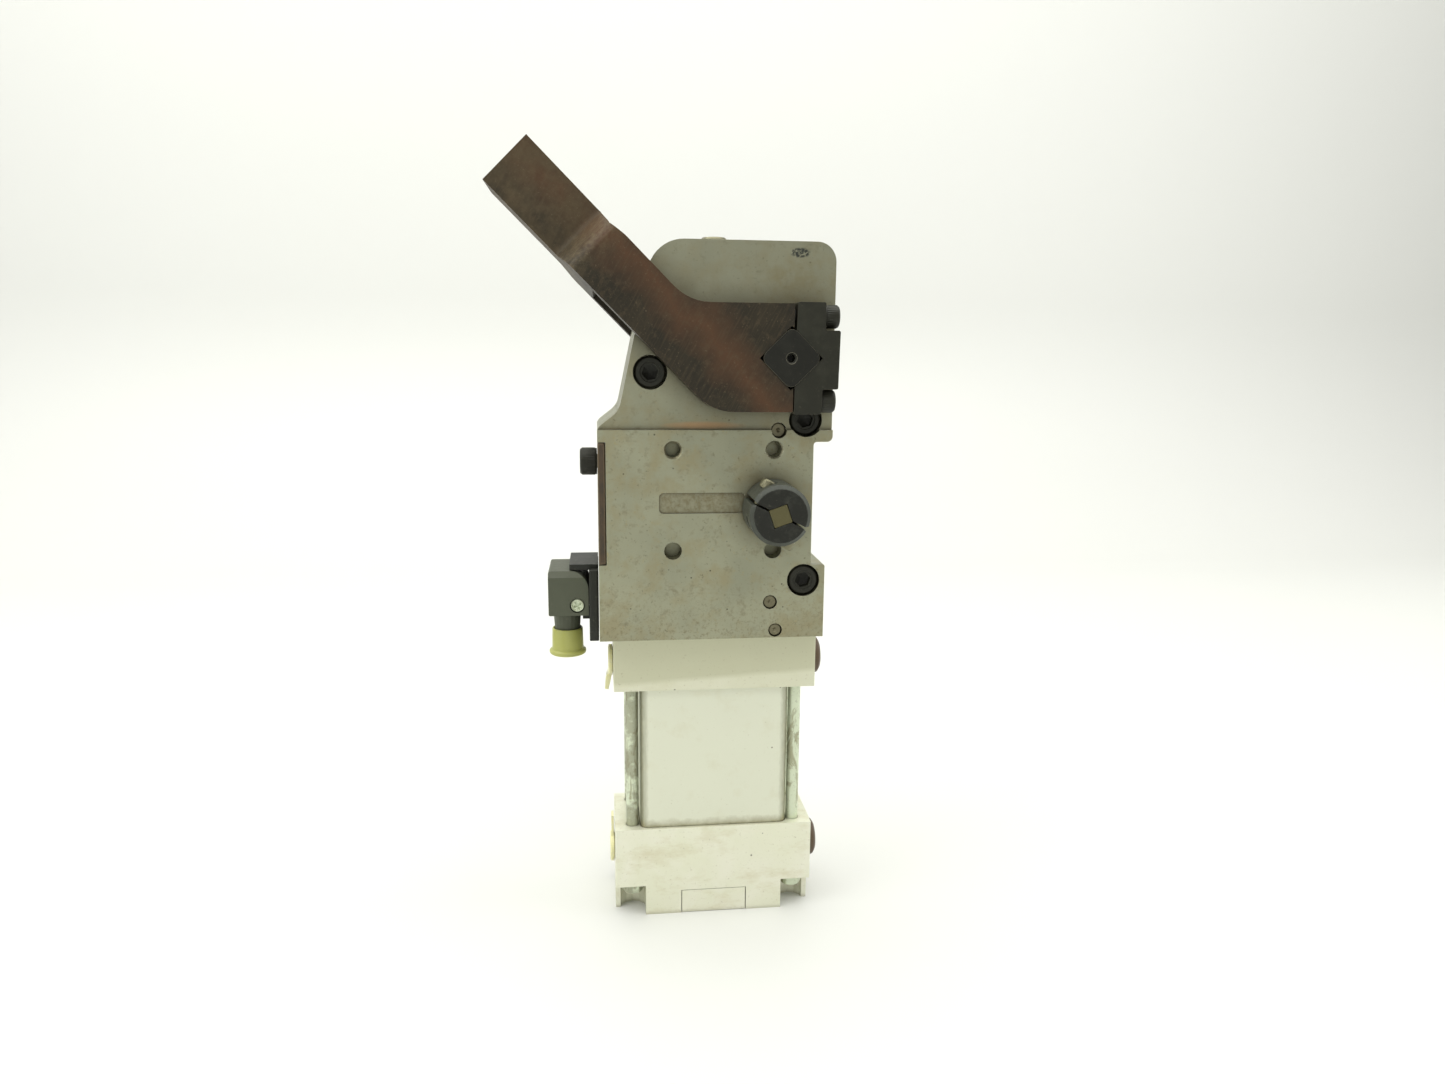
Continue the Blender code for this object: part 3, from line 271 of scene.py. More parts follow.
# ---------------------------------------------------------------- materials
def machined_steel():
    """Ground steel gone dull: grey-green, mottled and stained, fine vertical grind marks."""
    s = Shader("machined_steel", (0.345, 0.345, 0.242), 0.42, 0.7)
    s.tint(s.remap(s.noise(34, 3, 0.6), 0.38, 0.66), (0.292, 0.298, 0.213))
    s.tint(s.remap(s.noise(13, 5, 0.65, offset=7), 0.47, 0.66, 0.0, 0.75), (0.300, 0.270, 0.160))
    s.tint(s.remap(s.noise(4.5, 5, 0.7, offset=3), 0.56, 0.72, 0.0, 0.7), (0.200, 0.180, 0.110))
    s.tint(s.remap(s.noise(1.6, 4, 0.7, offset=13), 0.62, 0.72, 0.0, 0.8), (0.14, 0.118, 0.066))
    s.tint(s.remap(s.noise(3.2, 4, 0.7, offset=31), 0.64, 0.76, 0.0, 0.6), (0.36, 0.28, 0.11))
    s.tint(s.remap(s.cells(8.0, 5), 0.035, 0.06, 0.85, 0.0), (0.07, 0.06, 0.04))
    # Brown flecks gather along the lower edge, and the face above the step is darker: painted
    # shade that deepens upwards
    low = s.remap(s.axis("Z"), FLECK_LOW * MM, FLECK_HIGH * MM, 1.0, 0.0)
    s.tint(s.both(low, s.remap(s.noise(1.8, 4, 0.75, offset=21), 0.52, 0.68, 0.0, 0.8)),
           (0.19, 0.155, 0.080))
    high = s.remap(s.axis("Z"), STEP_Z * MM, (STEP_Z + 40.0) * MM, 0.12, 0.45)
    above = s.remap(s.axis("Z"), STEP_Z * MM, (STEP_Z + 0.4) * MM)
    s.tint(s.both(high, above), (0.20, 0.20, 0.145))
    stain = s.both(s.patch(*OLIVE_STAIN, 0.9),
                   s.remap(s.noise(7, 4, 0.65, offset=23), 0.42, 0.62, 0.1, 0.7))
    s.tint(stain, (0.235, 0.205, 0.112))
    # Warm strip just above the step, an ink smudge in the corner, dirt in the blank field
    s.tint(s.both(s.patch(*COPPER_STRIP, 0.9), s.both(above, 0.6)), (0.50, 0.27, 0.12))
    smudge = s.both(s.patch(*INK_SMUDGE, 0.5),
                    s.remap(s.noise(1.5, 4, 0.65, offset=29), 0.43, 0.50))
    s.tint(s.both(smudge, 0.9), (0.030, 0.036, 0.036))
    depth = s.axis("Y")
    begin, full, fade, end = (place * MM for place in FIELD_FLOOR)
    sunk = s.both(s.remap(depth, begin, full), s.remap(depth, fade, end, 1.0, 0.0))
    s.tint(s.both(sunk, s.remap(s.noise(2.6, 4, 0.7, offset=19), 0.40, 0.62, 0.25, 0.85)),
           (0.19, 0.165, 0.095))
    # Painted shadow: the outer faces darken where other parts are close, a soft dark halo round
    # the hub and under the arm
    outside = s.remap(s.size_of(depth), *(place * MM for place in OUTER_FACE))
    s.tint(s.both(outside, s.remap(s.crevice(12.0), 0.45, 1.0, 0.65, 0.0)), (0.110, 0.098, 0.062))
    # Painted shade in creases and corners, where other surfaces are within 2.5 mm
    s.tint(s.remap(s.crevice(2.5), 0.35, 0.8, 0.65, 0.0), (0.085, 0.072, 0.042))
    grind = s.noise(0.5, 3, 0.6, stretch=(1.0, 1.0, 0.03), offset=2)
    s.vary_roughness(grind, 0.14)
    s.vary_roughness(s.noise(9, 4, 0.6, offset=11), 0.28)
    s.raise_height(grind, 0.010)
    s.raise_height(s.noise(1.3, 4, 0.6), 0.008)
    return s.finish()


def milled_aluminium():
    """Pale milled caps with soft cloudy swirls and a few dents."""
    s = Shader("milled_aluminium", (0.76, 0.765, 0.61), 0.38, 0.45)
    s.tint(s.remap(s.noise(26, 3, 0.6, distortion=0.8), 0.38, 0.66), (0.80, 0.795, 0.67))
    s.tint(s.remap(s.noise(9, 5, 0.7, stretch=(0.45, 1, 1), offset=4), 0.50, 0.72, 0.0, 0.5),
           (0.58, 0.53, 0.34))
    # Painted shade: the upper cap is darker, and above a wandering slanted line darker still; the
    # paler part below the line is a painted reflection of the floor
    upper = s.remap(s.axis("Z"), UPPER_CAP_Z * MM, (UPPER_CAP_Z + 1.0) * MM, 0.0, 0.55)
    s.tint(upper, (0.61, 0.61, 0.45))
    reflected_horizon = s.math("ADD", s.plane(-0.05, 1.0), s.both(s.noise(40, 3, 0.6, offset=6), 2.0 * MM))
    s.tint(s.remap(reflected_horizon, FLOOR_REFLECTION_Z * MM, (FLOOR_REFLECTION_Z + 2.5) * MM, 0.0, 0.85),
           (0.530, 0.530, 0.375))
    s.tint(s.remap(s.noise(1.7, 4, 0.75, offset=9), 0.60, 0.74, 0.0, 0.6), (0.30, 0.26, 0.15))
    s.tint(s.remap(s.cells(11.0, 2), 0.03, 0.05, 0.8, 0.0), (0.10, 0.09, 0.06))
    # Painted shade in creases and corners, where other surfaces are within 3 mm
    s.tint(s.remap(s.crevice(3.0), 0.35, 0.8, 0.65, 0.0), (0.20, 0.18, 0.11))
    mill = s.noise(0.6, 3, 0.6, stretch=(0.05, 1.0, 1.0), offset=1)
    s.vary_roughness(mill, 0.16)
    s.vary_roughness(s.noise(12, 3, 0.6, offset=5), 0.20)
    s.raise_height(mill, 0.008)
    s.raise_height(s.noise(2.0, 4, 0.6), 0.008)
    return s.finish()


def drawn_aluminium():
    """The barrel: smooth and very pale, with dark bands near its corners: dirt, and painted shade
    on the rounded corners.
    """
    s = Shader("anodised_aluminium", (0.70, 0.715, 0.585), 0.35, 0.45)
    half = 0.5 * (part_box("barrel")[1].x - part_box("barrel")[0].x)
    ragged = s.both(s.noise(1.2, 4, 0.65, stretch=(1, 1, 0.3)), 1.6 * MM)
    edge = s.math("ADD", s.size_of(s.axis("X")), ragged)
    faces = s.remap(s.size_of(s.axis("Y")), *(place * MM for place in BARREL_FACE))
    # Dark bands near the corners of the faces: dirt, and painted shade on the rounded corners
    s.tint(s.both(faces, s.remap(edge, half - 3.2 * MM, half + 0.2 * MM, 0.0, 0.85)),
           (0.17, 0.165, 0.095))
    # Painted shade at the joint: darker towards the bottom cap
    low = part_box("bottom_cap")[1].z
    rise = s.math("SUBTRACT", s.axis("Z"), low)
    rise = s.math("SUBTRACT", rise, s.both(s.noise(5, 4, 0.65, offset=3), 5.0 * MM))
    s.tint(s.remap(rise, -3.0 * MM, 1.5 * MM, 0.75, 0.0), (0.24, 0.21, 0.11))
    s.tint(s.remap(s.noise(9, 4, 0.6, offset=8), 0.54, 0.78, 0.0, 0.3), (0.58, 0.55, 0.38))
    s.tint(s.remap(s.noise(1.4, 4, 0.7, offset=5), 0.64, 0.76, 0.0, 0.5), (0.32, 0.28, 0.16))
    s.tint(s.remap(s.cells(14.0, 8), 0.02, 0.035, 0.8, 0.0), (0.12, 0.10, 0.06))
    s.vary_roughness(s.noise(14, 3, 0.6), 0.14)
    s.raise_height(s.noise(0.4, 3, 0.6, stretch=(1.0, 1.0, 0.03)), 0.003)
    return s.finish()


def browned_casting():
    """Heat-browned iron: near black, a warm band along the arm, sandy skin, saw lines."""
    s = Shader("browned_casting", (0.022, 0.0188, 0.0125), 0.52, 0.0, 0.20)
    s.tint(s.remap(s.noise(22, 4, 0.55, distortion=0.5), 0.40, 0.66, 0.0, 0.7),
           (0.038, 0.030, 0.018))
    wander = s.both(s.math("SUBTRACT", s.noise(24, 4, 0.6, offset=6), 0.5), 26.0 * MM)
    across = s.math("ADD", s.plane(DIAGONAL, DIAGONAL), wander)
    band = s.size_of(s.math("SUBTRACT", across, ARM_BAND * MM))
    s.tint(s.remap(band, 0.0, 13.0 * MM, 0.85, 0.0), (0.086, 0.042, 0.021))
    along = s.plane(-DIAGONAL, DIAGONAL)
    shoulder, start, end = (place * MM for place in ARM_JOG)
    tip = s.remap(along, start, end)
    s.tint(s.both(tip, s.remap(s.noise(14, 4, 0.6, offset=9), 0.36, 0.62, 0.15, 0.85)),
           (0.072, 0.052, 0.028))
    # Sand and rubbed metal on the shoulder and the jog
    near = s.both(s.remap(along, shoulder, start), s.remap(along, start, end, 1.0, 0.25))
    s.tint(s.both(near, s.remap(s.noise(2.4, 4, 0.7, offset=12), 0.40, 0.66, 0.1, 0.8)),
           (0.135, 0.105, 0.060))
    s.tint(s.remap(s.noise(4, 5, 0.7, offset=2), 0.54, 0.74, 0.0, 0.55), (0.078, 0.056, 0.032))
    s.tint(s.remap(s.noise(0.9, 3, 0.7, offset=3), 0.62, 0.74, 0.0, 0.5), (0.16, 0.125, 0.074))
    saw = s.noise(0.8, 2, 0.5, stretch=(1.0, 1.0, 0.07), offset=4, lean=-0.5)
    s.tint(s.remap(saw, 0.5, 0.75, 0.0, 0.35), (0.085, 0.062, 0.036))
    s.vary_roughness(saw, 0.16)
    s.vary_roughness(s.noise(7, 4, 0.6, offset=5), 0.22)
    s.raise_height(s.noise(0.9, 5, 0.7), 0.09)
    s.raise_height(saw, 0.035)
    return s.finish()


def black_oxide(name, colour=(0.0200, 0.0200, 0.0138)):
    s = Shader(name, colour, 0.42, 0.0, 0.24)
    s.tint(s.remap(s.noise(6, 4, 0.6), 0.45, 0.70, 0.0, 0.6), tuple(1.6 * c for c in colour))
    s.tint(s.remap(s.noise(1.6, 4, 0.7, offset=3), 0.60, 0.75, 0.0, 0.55), (0.068, 0.062, 0.043))
    s.vary_roughness(s.noise(4, 4, 0.6, offset=2), 0.24)
    s.raise_height(s.noise(0.5, 4, 0.6), 0.010)
    return s.finish()


def hub_oxide():
    """Turned and blackened: dark on the end face, grey outside it, partly rubbed metal and partly
    a painted highlight on the chamfer.
    """
    s = Shader("hub_oxide", (0.0150, 0.0155, 0.0120), 0.40, 0.0, 0.26)
    x, z = HAND_AXIS
    dx = s.math("SUBTRACT", s.axis("X"), x * MM)
    dz = s.math("SUBTRACT", s.axis("Z"), z * MM)
    away = s.math("SQRT", s.math("ADD", s.both(dx, dx), s.both(dz, dz)), 0.0)
    rough_rim = s.math("ADD", away, s.both(s.noise(3, 4, 0.7), 0.8 * MM))
    inner, outer = (radius * MM for radius in HUB_RIM)
    # Paler rim: rubbed metal, and a painted highlight on the chamfer
    s.tint(s.remap(rough_rim, inner, outer, 0.0, 0.9), (0.060, 0.066, 0.054))
    s.tint(s.remap(s.noise(4, 5, 0.7, offset=4), 0.50, 0.70, 0.0, 0.6), (0.040, 0.042, 0.033))
    s.tint(s.remap(s.noise(1.2, 4, 0.7, offset=8), 0.64, 0.74, 0.0, 0.6), (0.13, 0.125, 0.095))
    grooves = s.math("SINE", s.both(away, TURN / (GROOVE_PITCH * MM)), 0.0)
    s.raise_height(grooves, 0.004)
    s.vary_roughness(s.noise(4, 4, 0.6, offset=2), 0.24)
    s.raise_height(s.noise(0.5, 4, 0.6), 0.008)
    return s.finish()


def zinc_plate():
    """Zinc gone blotchy: pale green-white bloom over dull grey-brown."""
    s = Shader("zinc_plate", (0.64, 0.70, 0.53), 0.38, 0.4)
    bloom = s.noise(6, 5, 0.7, stretch=(1.0, 1.0, 0.35), distortion=0.8)
    s.tint(s.remap(bloom, 0.51, 0.58, 0.0, 0.75), (0.30, 0.285, 0.170))
    left = s.remap(s.axis("X"), -MM, MM, 1.0, 0.0)
    s.tint(s.both(left, s.remap(s.noise(12, 4, 0.6, offset=6), 0.42, 0.50, 0.0, 0.65)),
           (0.235, 0.225, 0.150))
    s.tint(s.remap(s.noise(1.5, 4, 0.7, offset=3), 0.58, 0.72, 0.0, 0.6), (0.13, 0.11, 0.065))
    s.vary_roughness(bloom, 0.5)
    s.raise_height(s.noise(0.7, 4, 0.7), 0.02)
    return s.finish()


def bare_steel(name, colour):
    """Ground shaft ends, pins and the parts that run inside the head."""
    s = Shader(name, colour, 0.36, 0.7)
    s.tint(s.remap(s.noise(4, 4, 0.65), 0.5, 0.72, 0.0, 0.6), tuple(0.68 * c for c in colour))
    s.vary_roughness(s.noise(2, 4, 0.6, offset=2), 0.24)
    s.raise_height(s.noise(0.4, 3, 0.6, stretch=(1.0, 0.1, 1.0)), 0.006)
    return s.finish()


def bearing_bronze():
    s = Shader("bearing_bronze", (0.50, 0.34, 0.15), 0.35, 0.9)
    s.tint(s.remap(s.noise(4, 4, 0.6), 0.45, 0.7, 0.0, 0.6), (0.33, 0.21, 0.10))
    s.vary_roughness(s.noise(2, 4, 0.6, offset=2), 0.2)
    return s.finish()


def brown_plate():
    s = Shader("brown_plate", (0.072, 0.049, 0.029), 0.45, 0.15, 0.35)
    s.tint(s.remap(s.noise(7, 5, 0.65), 0.45, 0.68), (0.048, 0.038, 0.026))
    s.tint(s.remap(s.noise(1.4, 4, 0.7, offset=4), 0.62, 0.76, 0.0, 0.5), (0.15, 0.11, 0.065))
    s.vary_roughness(s.noise(3, 4, 0.6, offset=2), 0.25)
    s.raise_height(s.noise(0.6, 4, 0.65), 0.015)
    return s.finish()


def moulded(name, colour, roughness, dust=(0.17, 0.165, 0.115)):
    """Moulded plastic with a fine spark-eroded grain and a little dust."""
    s = Shader(name, colour, roughness, 0.0, 0.35)
    s.tint(s.remap(s.noise(9, 3, 0.6), 0.4, 0.7, 0.0, 0.5), tuple(0.86 * c for c in colour))
    s.tint(s.remap(s.noise(2.2, 4, 0.7, offset=5), 0.60, 0.76, 0.0, 0.3), dust)
    s.vary_roughness(s.noise(3, 4, 0.6, offset=3), 0.18)
    s.raise_height(s.noise(0.22, 2, 0.5), 0.010)
    return s.finish()


def soft_yellow(name, colour):
    """Soft translucent plastic of the caps that close ports and plugs."""
    s = Shader(name, colour, 0.34, 0.0)
    s.tint(s.remap(s.noise(6, 3, 0.6), 0.4, 0.7, 0.0, 0.5), tuple(0.88 * c for c in colour))
    s.vary_roughness(s.noise(3, 3, 0.6, offset=2), 0.15)
    s.raise_height(s.noise(1.0, 3, 0.5), 0.010)
    s.bsdf.inputs["Subsurface Weight"].default_value = 0.3
    s.bsdf.inputs["Subsurface Radius"].default_value = (0.9, 0.9, 0.25)
    s.bsdf.inputs["Subsurface Scale"].default_value = 0.003
    return s.finish()


def seal_rubber():
    s = Shader("seal_rubber", (0.022, 0.022, 0.022), 0.6, 0.0)
    s.vary_roughness(s.noise(2, 3, 0.6), 0.2)
    s.raise_height(s.noise(0.5, 3, 0.6), 0.01)
    return s.finish()


def worn_edge(name, colour, metallic=0.7):
    """The thin strip along an edge where handling has rubbed the surface bright."""
    s = Shader(name, colour, 0.32, metallic)
    s.tint(s.remap(s.noise(3, 4, 0.7), 0.48, 0.68, 0.0, 0.7), tuple(0.55 * c for c in colour))
    return s.finish()


MATERIALS = {
    "machined_steel": machined_steel(),
    "milled_aluminium": milled_aluminium(),
    "anodised_aluminium": drawn_aluminium(),
    "browned_casting": browned_casting(),
    "black_oxide": black_oxide("black_oxide"),
    "zinc_plate": zinc_plate(),
    "bearing_bronze": bearing_bronze(),
    "hardened_steel": bare_steel("hardened_steel", (0.34, 0.33, 0.24)),
    "brown_plate": brown_plate(),
    "seal_rubber": seal_rubber(),
    "black_plastic": moulded("black_plastic", (0.019, 0.020, 0.0155), 0.50),
    "grey_plastic": moulded("grey_plastic", (0.082, 0.090, 0.060), 0.50),
    "yellow_plastic": soft_yellow("yellow_plastic", (0.40, 0.41, 0.12)),
    "pale_yellow": soft_yellow("pale_yellow_plastic", (0.78, 0.75, 0.46)),
    "hub_steel": hub_oxide(),
    "port_brown": moulded("port_brown", (0.105, 0.072, 0.045), 0.42, (0.21, 0.175, 0.11)),
    "shaft_black": black_oxide("shaft_black", (0.0115, 0.0115, 0.0085)),
    "shaft_end": bare_steel("shaft_end", (0.122, 0.110, 0.052)),
    "pin_end": bare_steel("pin_end", (0.175, 0.160, 0.100)),
    "screw_steel": bare_steel("screw_steel", (0.20, 0.19, 0.12)),
}
EDGES = {
    "machined_steel": worn_edge("steel_edge", (0.93, 0.93, 0.78), 1.0),
    "milled_aluminium": worn_edge("aluminium_edge", (0.80, 0.80, 0.66)),
    "browned_casting": worn_edge("casting_edge", (0.50, 0.40, 0.26), 0.4),
    "black_oxide": worn_edge("oxide_edge", (0.085, 0.080, 0.058), 0.4),
    "shaft_black": worn_edge("shaft_edge", (0.16, 0.15, 0.11), 0.5),
    # The hub's edge strip: rubbed metal, its pale colour partly a painted highlight
    "hub_steel": worn_edge("hub_edge_wear_and_highlight", (0.17, 0.18, 0.16), 0.6),
    "brown_plate": worn_edge("plate_edge", (0.13, 0.095, 0.055), 0.4),
}

SLOT_OF = {part["node"]: part["material_slot"] for part in frame["record"]["subparts"]}


# ---------------------------------------------------------------- meshes
def ring(radius, height, count=64, tooth=0.0):
    """A ring of points about +Z. With tooth, every other point lies that much further in."""
    points = []
    for k in range(count):
        r = radius - (tooth if k % 2 else 0.0)
        angle = TURN * k / count
        points.append(Vector((r * math.cos(angle), r * math.sin(angle), height)))
    return points


def hexagon_ring(across_flats, height, count=64):
    """A ring of points on a hexagon, at the same angles as a round ring."""
    points = []
    for k in range(count):
        angle = TURN * k / count
        within = (angle % (TURN / 6)) - TURN / 12
        r = 0.5 * across_flats / math.cos(within)
        points.append(Vector((r * math.cos(angle), r * math.sin(angle), height)))
    return points


def cross_ring(arm, half_width, height, count=64):
    """A ring of points on a cross, at the same angles as a round ring."""
    points = []
    for k in range(count):
        c, s = math.cos(TURN * k / count), math.sin(TURN * k / count)
        r = min(arm, half_width / max(min(abs(c), abs(s)), 0.01))
        points.append(Vector((r * c, r * s, height)))
    return points


def lathe(name, rings, place, material, body):
    """A piece through a list of equal rings, closed by a centre point at each end.

    The rings are in millimetres about +Z, and place moves them to the frame, in metres.
    """
    bm = bmesh.new()
    loops = [[bm.verts.new(p * MM) for p in points] for points in rings]
    count = len(loops[0])
    for lower, upper in zip(loops, loops[1:]):
        for i in range(count):
            j = (i + 1) % count
            bm.faces.new((lower[i], lower[j], upper[j], upper[i]))
    for loop in (loops[0], loops[-1]):
        centre = bm.verts.new(sum((v.co for v in loop), Vector()) / count)
        for i in range(count):
            bm.faces.new((loop[i], loop[(i + 1) % count], centre))
    bmesh.ops.recalc_face_normals(bm, faces=bm.faces)
    mesh = bpy.data.meshes.new(name)
    bm.to_mesh(mesh)
    bm.free()
    mesh.transform(place)
    mesh.shade_smooth()
    mesh.set_sharp_from_angle(angle=SHARP)
    mesh.materials.append(MATERIALS[material])
    piece = bpy.data.objects.new(name, mesh)
    bpy.context.collection.objects.link(piece)
    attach(piece, body)
    return piece


def facing(point, direction, spin):
    """A placement at a point in metres, its +Z along direction, turned about it by spin."""
    turn = Vector((0, 0, 1)).rotation_difference(Vector(direction)).to_matrix().to_4x4()
    return Matrix.Translation(point) @ turn @ Matrix.Rotation(spin, 4, "Z")


def upright(node):
    """A placement on the middle of a node's underside, and the node's height."""
    low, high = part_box(node)
    middle = (low + high) / 2
    return Matrix.Translation((middle.x, middle.y, low.z)), (high.z - low.z) / MM


def reach_of(node, direction):
    """A CAD piece's far end along a direction, its half width there and its length."""
    axis = Vector(direction).normalized()
    side = axis.orthogonal().normalized()
    other = axis.cross(side)
    spans = []
    for way in (axis, side, other):
        places = [v.co.dot(way) for v in NODES[node].data.vertices]
        spans.append((min(places), max(places)))
    (low, high), (a0, a1), (b0, b1) = spans
    point = axis * high + side * (a0 + a1) / 2 + other * (b0 + b1) / 2
    return point, (a1 - a0) / 2 / MM, (high - low) / MM


def cap_screw(node, direction, body, head_length, shank_r, material="black_oxide"):
    """A knurled cap screw in the space of a CAD screw whose head points along direction."""
    point, head_r, length = reach_of(node, direction)
    socket, bevel, knurl = 0.92 * head_r, 0.13 * head_r, 0.03 * head_r
    knurl_low = -0.88 * head_length
    rings = [
        ring(shank_r * 0.8, -length), ring(shank_r, -length + 0.8), ring(shank_r, -head_length),
        ring(0.94 * head_r, -head_length), ring(head_r - knurl, knurl_low),
        ring(head_r, knurl_low, tooth=knurl), ring(head_r, -bevel - 0.2, tooth=knurl),
        ring(head_r - knurl, -bevel), ring(head_r - bevel, 0.0),
        ring(0.64 * head_r, 0.0), ring(0.60 * head_r, -0.06 * head_r),
        hexagon_ring(socket, -0.07 * head_r), hexagon_ring(socket, -0.55 * head_length),
        ring(0.12 * head_r, -0.68 * head_length),
    ]
    piece = lathe("cap_" + node, rings, facing(point, direction, 0.2), material,
                  body)
    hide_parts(node)


def plug_screw():
    """The connector's pan screw: a bright rolled rim round a crossed recess."""
    outwards = (0, -1, 0)
    point, head_r, length = reach_of("plug_screw", outwards)
    shank_r, head_length = 1.5, 2.4
    rings = [
        ring(shank_r, -length), ring(shank_r, -head_length), ring(head_r, -head_length),
        ring(head_r, -0.5), ring(0.95 * head_r, -0.1), ring(0.87 * head_r, 0.0),
        ring(0.78 * head_r, -0.15), ring(0.72 * head_r, -0.75), ring(0.66 * head_r, -0.8),
        cross_ring(0.62 * head_r, 0.17 * head_r, -0.8),
        cross_ring(0.50 * head_r, 0.14 * head_r, -1.8),
    ]
    piece = lathe("pan_plug_screw", rings, facing(point, outwards, 0.5), "zinc_plate",
                  FRAME)
    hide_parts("plug_screw")


def tie_rod(node):
    """A plated rod with a chamfered hexagon head, in the space of the CAD rod."""
    place, length = upright(node)
    head, across_flats, rod_r = 4.6, 9.8, 3.0
    rings = [
        ring(3.2, 0.0), ring(4.6, 0.0), hexagon_ring(across_flats, 0.7),
        hexagon_ring(across_flats, head - 0.6), ring(4.8, head - 0.05), ring(rod_r, head),
        ring(rod_r, length - 0.6), ring(2.5, length),
    ]
    piece = lathe("plated_" + node, rings, place, "zinc_plate", FRAME)
    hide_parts(node)


def port_plug(node):
    """A threaded plug with a collar, its edge broken, and a hexagon socket."""
    low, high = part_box(node)
    middle = (low + high) / 2
    length = (high.x - low.x) / MM
    thread_r, collar_r, collar, socket = 6.3, 9.0, 5.5, 8.0
    rings = [
        ring(5.6, -length), ring(thread_r, -length + 0.8), ring(thread_r, -collar),
        ring(8.7, -collar), ring(collar_r, -collar + 0.3), ring(collar_r, -1.9),
        ring(8.7, -1.2), ring(7.5, -0.35), ring(7.0, -0.1), ring(5.6, 0.0), ring(5.3, -0.3),
        hexagon_ring(socket, -0.6), hexagon_ring(socket, -5.0), ring(1.0, -5.8),
    ]
    place = facing((high.x, middle.y, middle.z), (1, 0, 0), 0.3)
    piece = lathe("fitted_" + node, rings, place, "port_brown", FRAME)
    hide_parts(node)


def dust_cap():
    """The yellow cup on the connector: inside, rim, outer wall, thin flange, closed end."""
    place, height = upright("dust_cap")
    rings = [
        ring(6.4, 3.8), ring(6.4, height - 0.3), ring(6.6, height), ring(7.0, height - 0.1),
        ring(7.2, height - 0.5), ring(7.4, 3.2), ring(7.6, 2.6), ring(8.3, 2.3),
        ring(8.65, 1.9), ring(8.7, 1.2), ring(8.5, 0.5), ring(7.9, 0.05), ring(6.8, 0.0),
        ring(5.8, 0.3), ring(5.4, 0.9),
    ]
    piece = lathe("cap_of_connector", rings, place, "yellow_plastic",
                  FRAME)
    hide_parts("dust_cap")


# ---------------------------------------------------------------- carried-over nodes
EDGE_BREAK = {
    "front_housing": 0.4, "rear_housing": 0.4, "fork_arm": 0.7, "bottom_cap": 0.35,
    "top_cap": 0.35, "clamp_block_front": 0.4, "clamp_block_rear": 0.4,
    "cover_plate": 0.6, "arm_shaft": 1.0, "sensor_plug": 0.35, "sensor_plate": 0.3,
    "hub_half_upper": 0.3, "hub_half_lower": 0.3, "foot_insert": 0.2,
    "dust_plug_upper": 0.25, "dust_plug_lower": 0.25,
}
FINISH = {
    "hub_half_upper": "hub_steel", "hub_half_lower": "hub_steel",
    "dust_plug_upper": "pale_yellow", "dust_plug_lower": "pale_yellow",
    "arm_shaft": "shaft_black", "hand_shaft": "shaft_end", "locating_pin_upper": "pin_end",
    "locating_pin_middle": "pin_end", "locating_pin_lower": "pin_end",
}


def soften(piece, width_mm, finish):
    """Merge the facets' shared corners and break the sharp edges, rubbed where it shows."""
    weld = piece.modifiers.new("weld", "WELD")
    weld.merge_threshold = WELD_REACH * MM
    bevel = piece.modifiers.new("edge", "BEVEL")
    bevel.width = width_mm * MM
    bevel.segments = 2
    bevel.limit_method = "ANGLE"
    bevel.angle_limit = CREASE
    if finish in EDGES:
        piece.data.materials.append(EDGES[finish])
        bevel.material = 1


def dress_nodes():
    """Give every CAD node its finish, and the large ones rubbed edges."""
    for name, piece in NODES.items():
        finish = FINISH.get(name, SLOT_OF[name])
        piece.data.materials.clear()
        piece.data.materials.append(MATERIALS[finish])
        if name in EDGE_BREAK:
            soften(piece, EDGE_BREAK[name], finish)


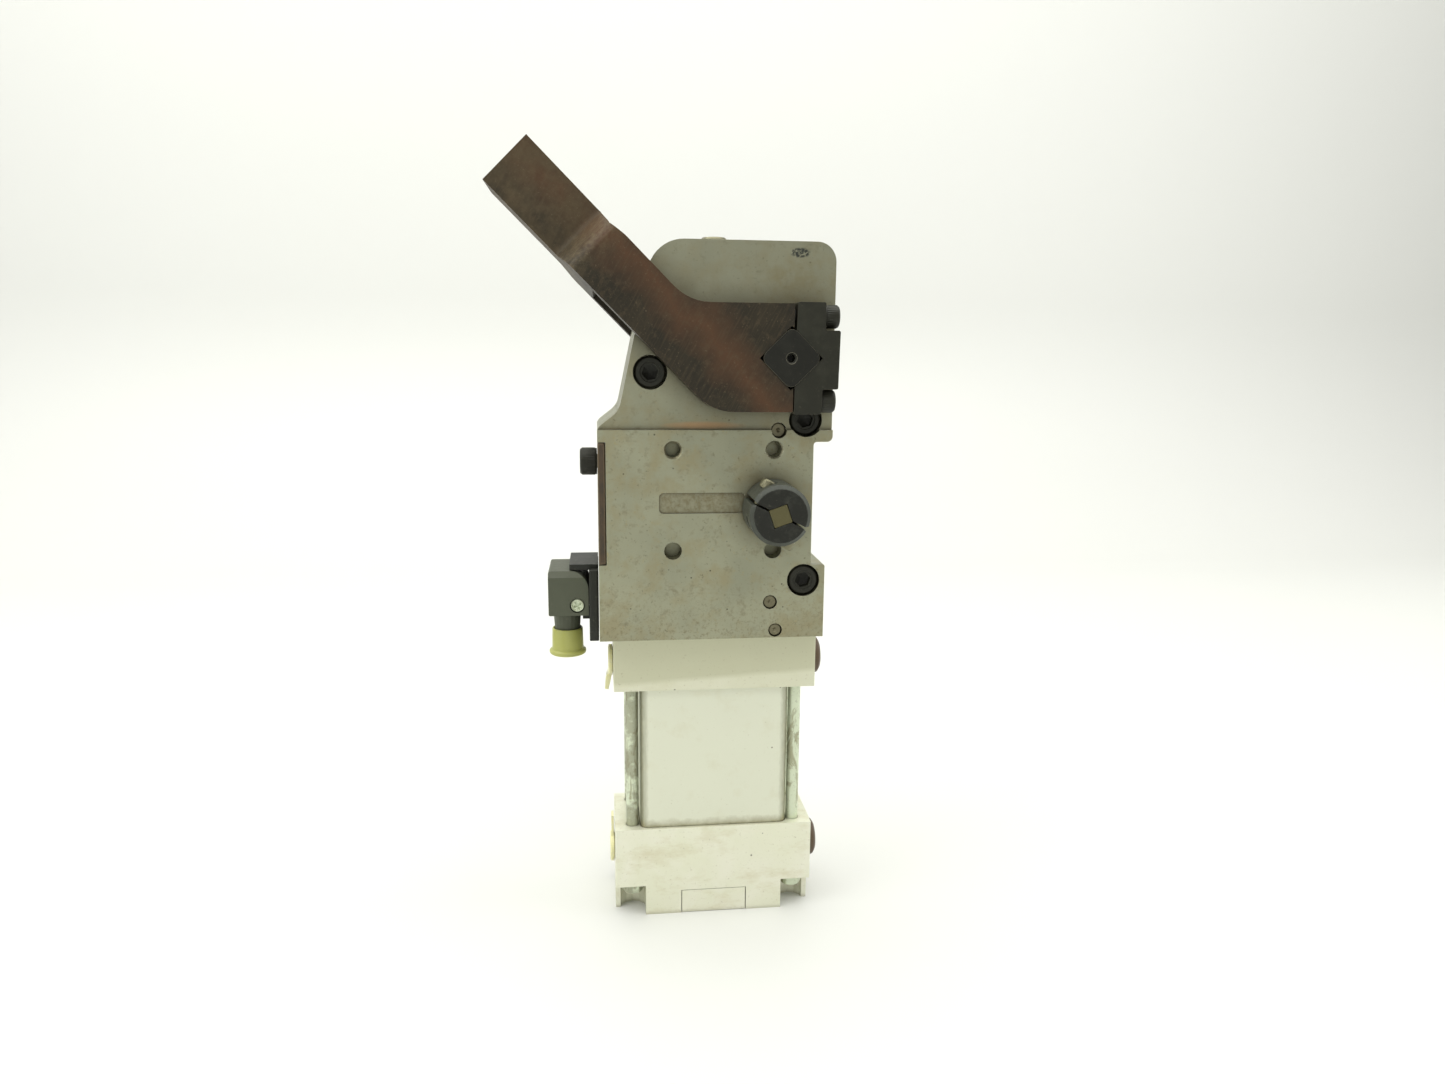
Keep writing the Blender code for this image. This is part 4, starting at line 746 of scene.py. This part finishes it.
# ---------------------------------------------------------------- stage
def studio():
    """A pale floor that bends up into a wall behind the object, a dim room and lamps."""
    floor_mesh = bpy.data.meshes.new("floor")
    bm = bmesh.new()
    profile = [(-FLOOR_REACH, 0.0), (WALL_BACK - FLOOR_BEND, 0.0)]
    for k in range(1, BEND_STEPS + 1):
        angle = math.pi / 2 * k / BEND_STEPS
        profile.append((WALL_BACK - FLOOR_BEND + FLOOR_BEND * math.sin(angle),
                        FLOOR_BEND - FLOOR_BEND * math.cos(angle)))
    profile.append((WALL_BACK, WALL_HEIGHT))
    rows = [[bm.verts.new((x, y, z)) for y, z in profile] for x in (-FLOOR_REACH, FLOOR_REACH)]
    for i in range(len(profile) - 1):
        bm.faces.new((rows[0][i], rows[1][i], rows[1][i + 1], rows[0][i + 1]))
    bm.to_mesh(floor_mesh)
    bm.free()
    floor_mesh.shade_smooth()
    floor = bpy.data.objects.new("floor", floor_mesh)
    bpy.context.collection.objects.link(floor)
    floor_mesh.materials.append(Shader("pale_floor", FLOOR_COLOUR, 0.5, 0.0).finish())

    world = bpy.data.worlds.new("room")
    bpy.context.scene.world = world
    world.use_nodes = True
    backdrop = world.node_tree.nodes["Background"]
    backdrop.inputs["Color"].default_value = ROOM_COLOUR
    backdrop.inputs["Strength"].default_value = ROOM_STRENGTH
    for name, place, target, size, power in LAMPS:
        light = bpy.data.lights.new(name, "AREA")
        light.shape = "RECTANGLE"
        light.size, light.size_y = size
        light.energy = power
        light.color = LAMP_COLOUR
        lamp = bpy.data.objects.new(name, light)
        bpy.context.collection.objects.link(lamp)
        lamp.location = place
        aim = Vector(target) - Vector(place)
        lamp.rotation_euler = aim.to_track_quat("-Z", "Y").to_euler()


def camera():
    """The photographer stands in front, a little left and above, close to the object."""
    image_width, image_height = IMAGE_SIZE
    data = bpy.data.cameras.new("camera")
    data.sensor_fit = "HORIZONTAL" if image_width >= image_height else "VERTICAL"
    data.sensor_width = SENSOR_WIDTH
    data.lens = FOCAL_PX * SENSOR_WIDTH / image_width
    data.clip_start = CLIP_START * MM
    view = bpy.data.objects.new("camera", data)
    bpy.context.collection.objects.link(view)
    turn = (Matrix.Rotation(CAMERA_YAW, 4, "Z")
            @ Matrix.Rotation(math.pi / 2 - CAMERA_PITCH, 4, "X")
            @ Matrix.Rotation(CAMERA_ROLL, 4, "Z"))
    view.matrix_world = Matrix.Translation(Vector(CAMERA_PLACE) * MM) @ turn
    bpy.context.scene.camera = view
    bpy.context.scene.view_settings.view_transform = "Standard"


# ---------------------------------------------------------------- build
def main():
    studio()
    camera()
    dress_nodes()
    for place in ("upper_left", "upper_right", "lower_right"):
        cap_screw("housing_screw_" + place, (0, -1, 0), FRAME, head_length=7.6, shank_r=3.9)
    cap_screw("cover_screw", (-1, 0, 0), FRAME, head_length=7.8, shank_r=3.2)
    cap_screw("stop_screw", (0, 0, 1), FRAME, 6.7, 3.9, "screw_steel")
    across = Vector((-math.sin(HUB_SPLIT), 0.0, math.cos(HUB_SPLIT)))
    cap_screw("hub_screw_upper", across, HAND, 4.0, 1.7, "screw_steel")
    cap_screw("hub_screw_lower", -across, HAND, 4.0, 1.7, "screw_steel")
    plug_screw()
    for side in ("front", "rear"):
        for level in ("upper", "lower"):
            cap_screw(f"clamp_screw_{side}_{level}", (1, 0, 0), ARM, 6.3, 3.0)
    for side in ("front", "rear"):
        for hand in ("left", "right"):
            tie_rod(f"tie_rod_{side}_{hand}")
    for level in ("upper", "lower"):
        port_plug("port_plug_" + level)
    dust_cap()


main()
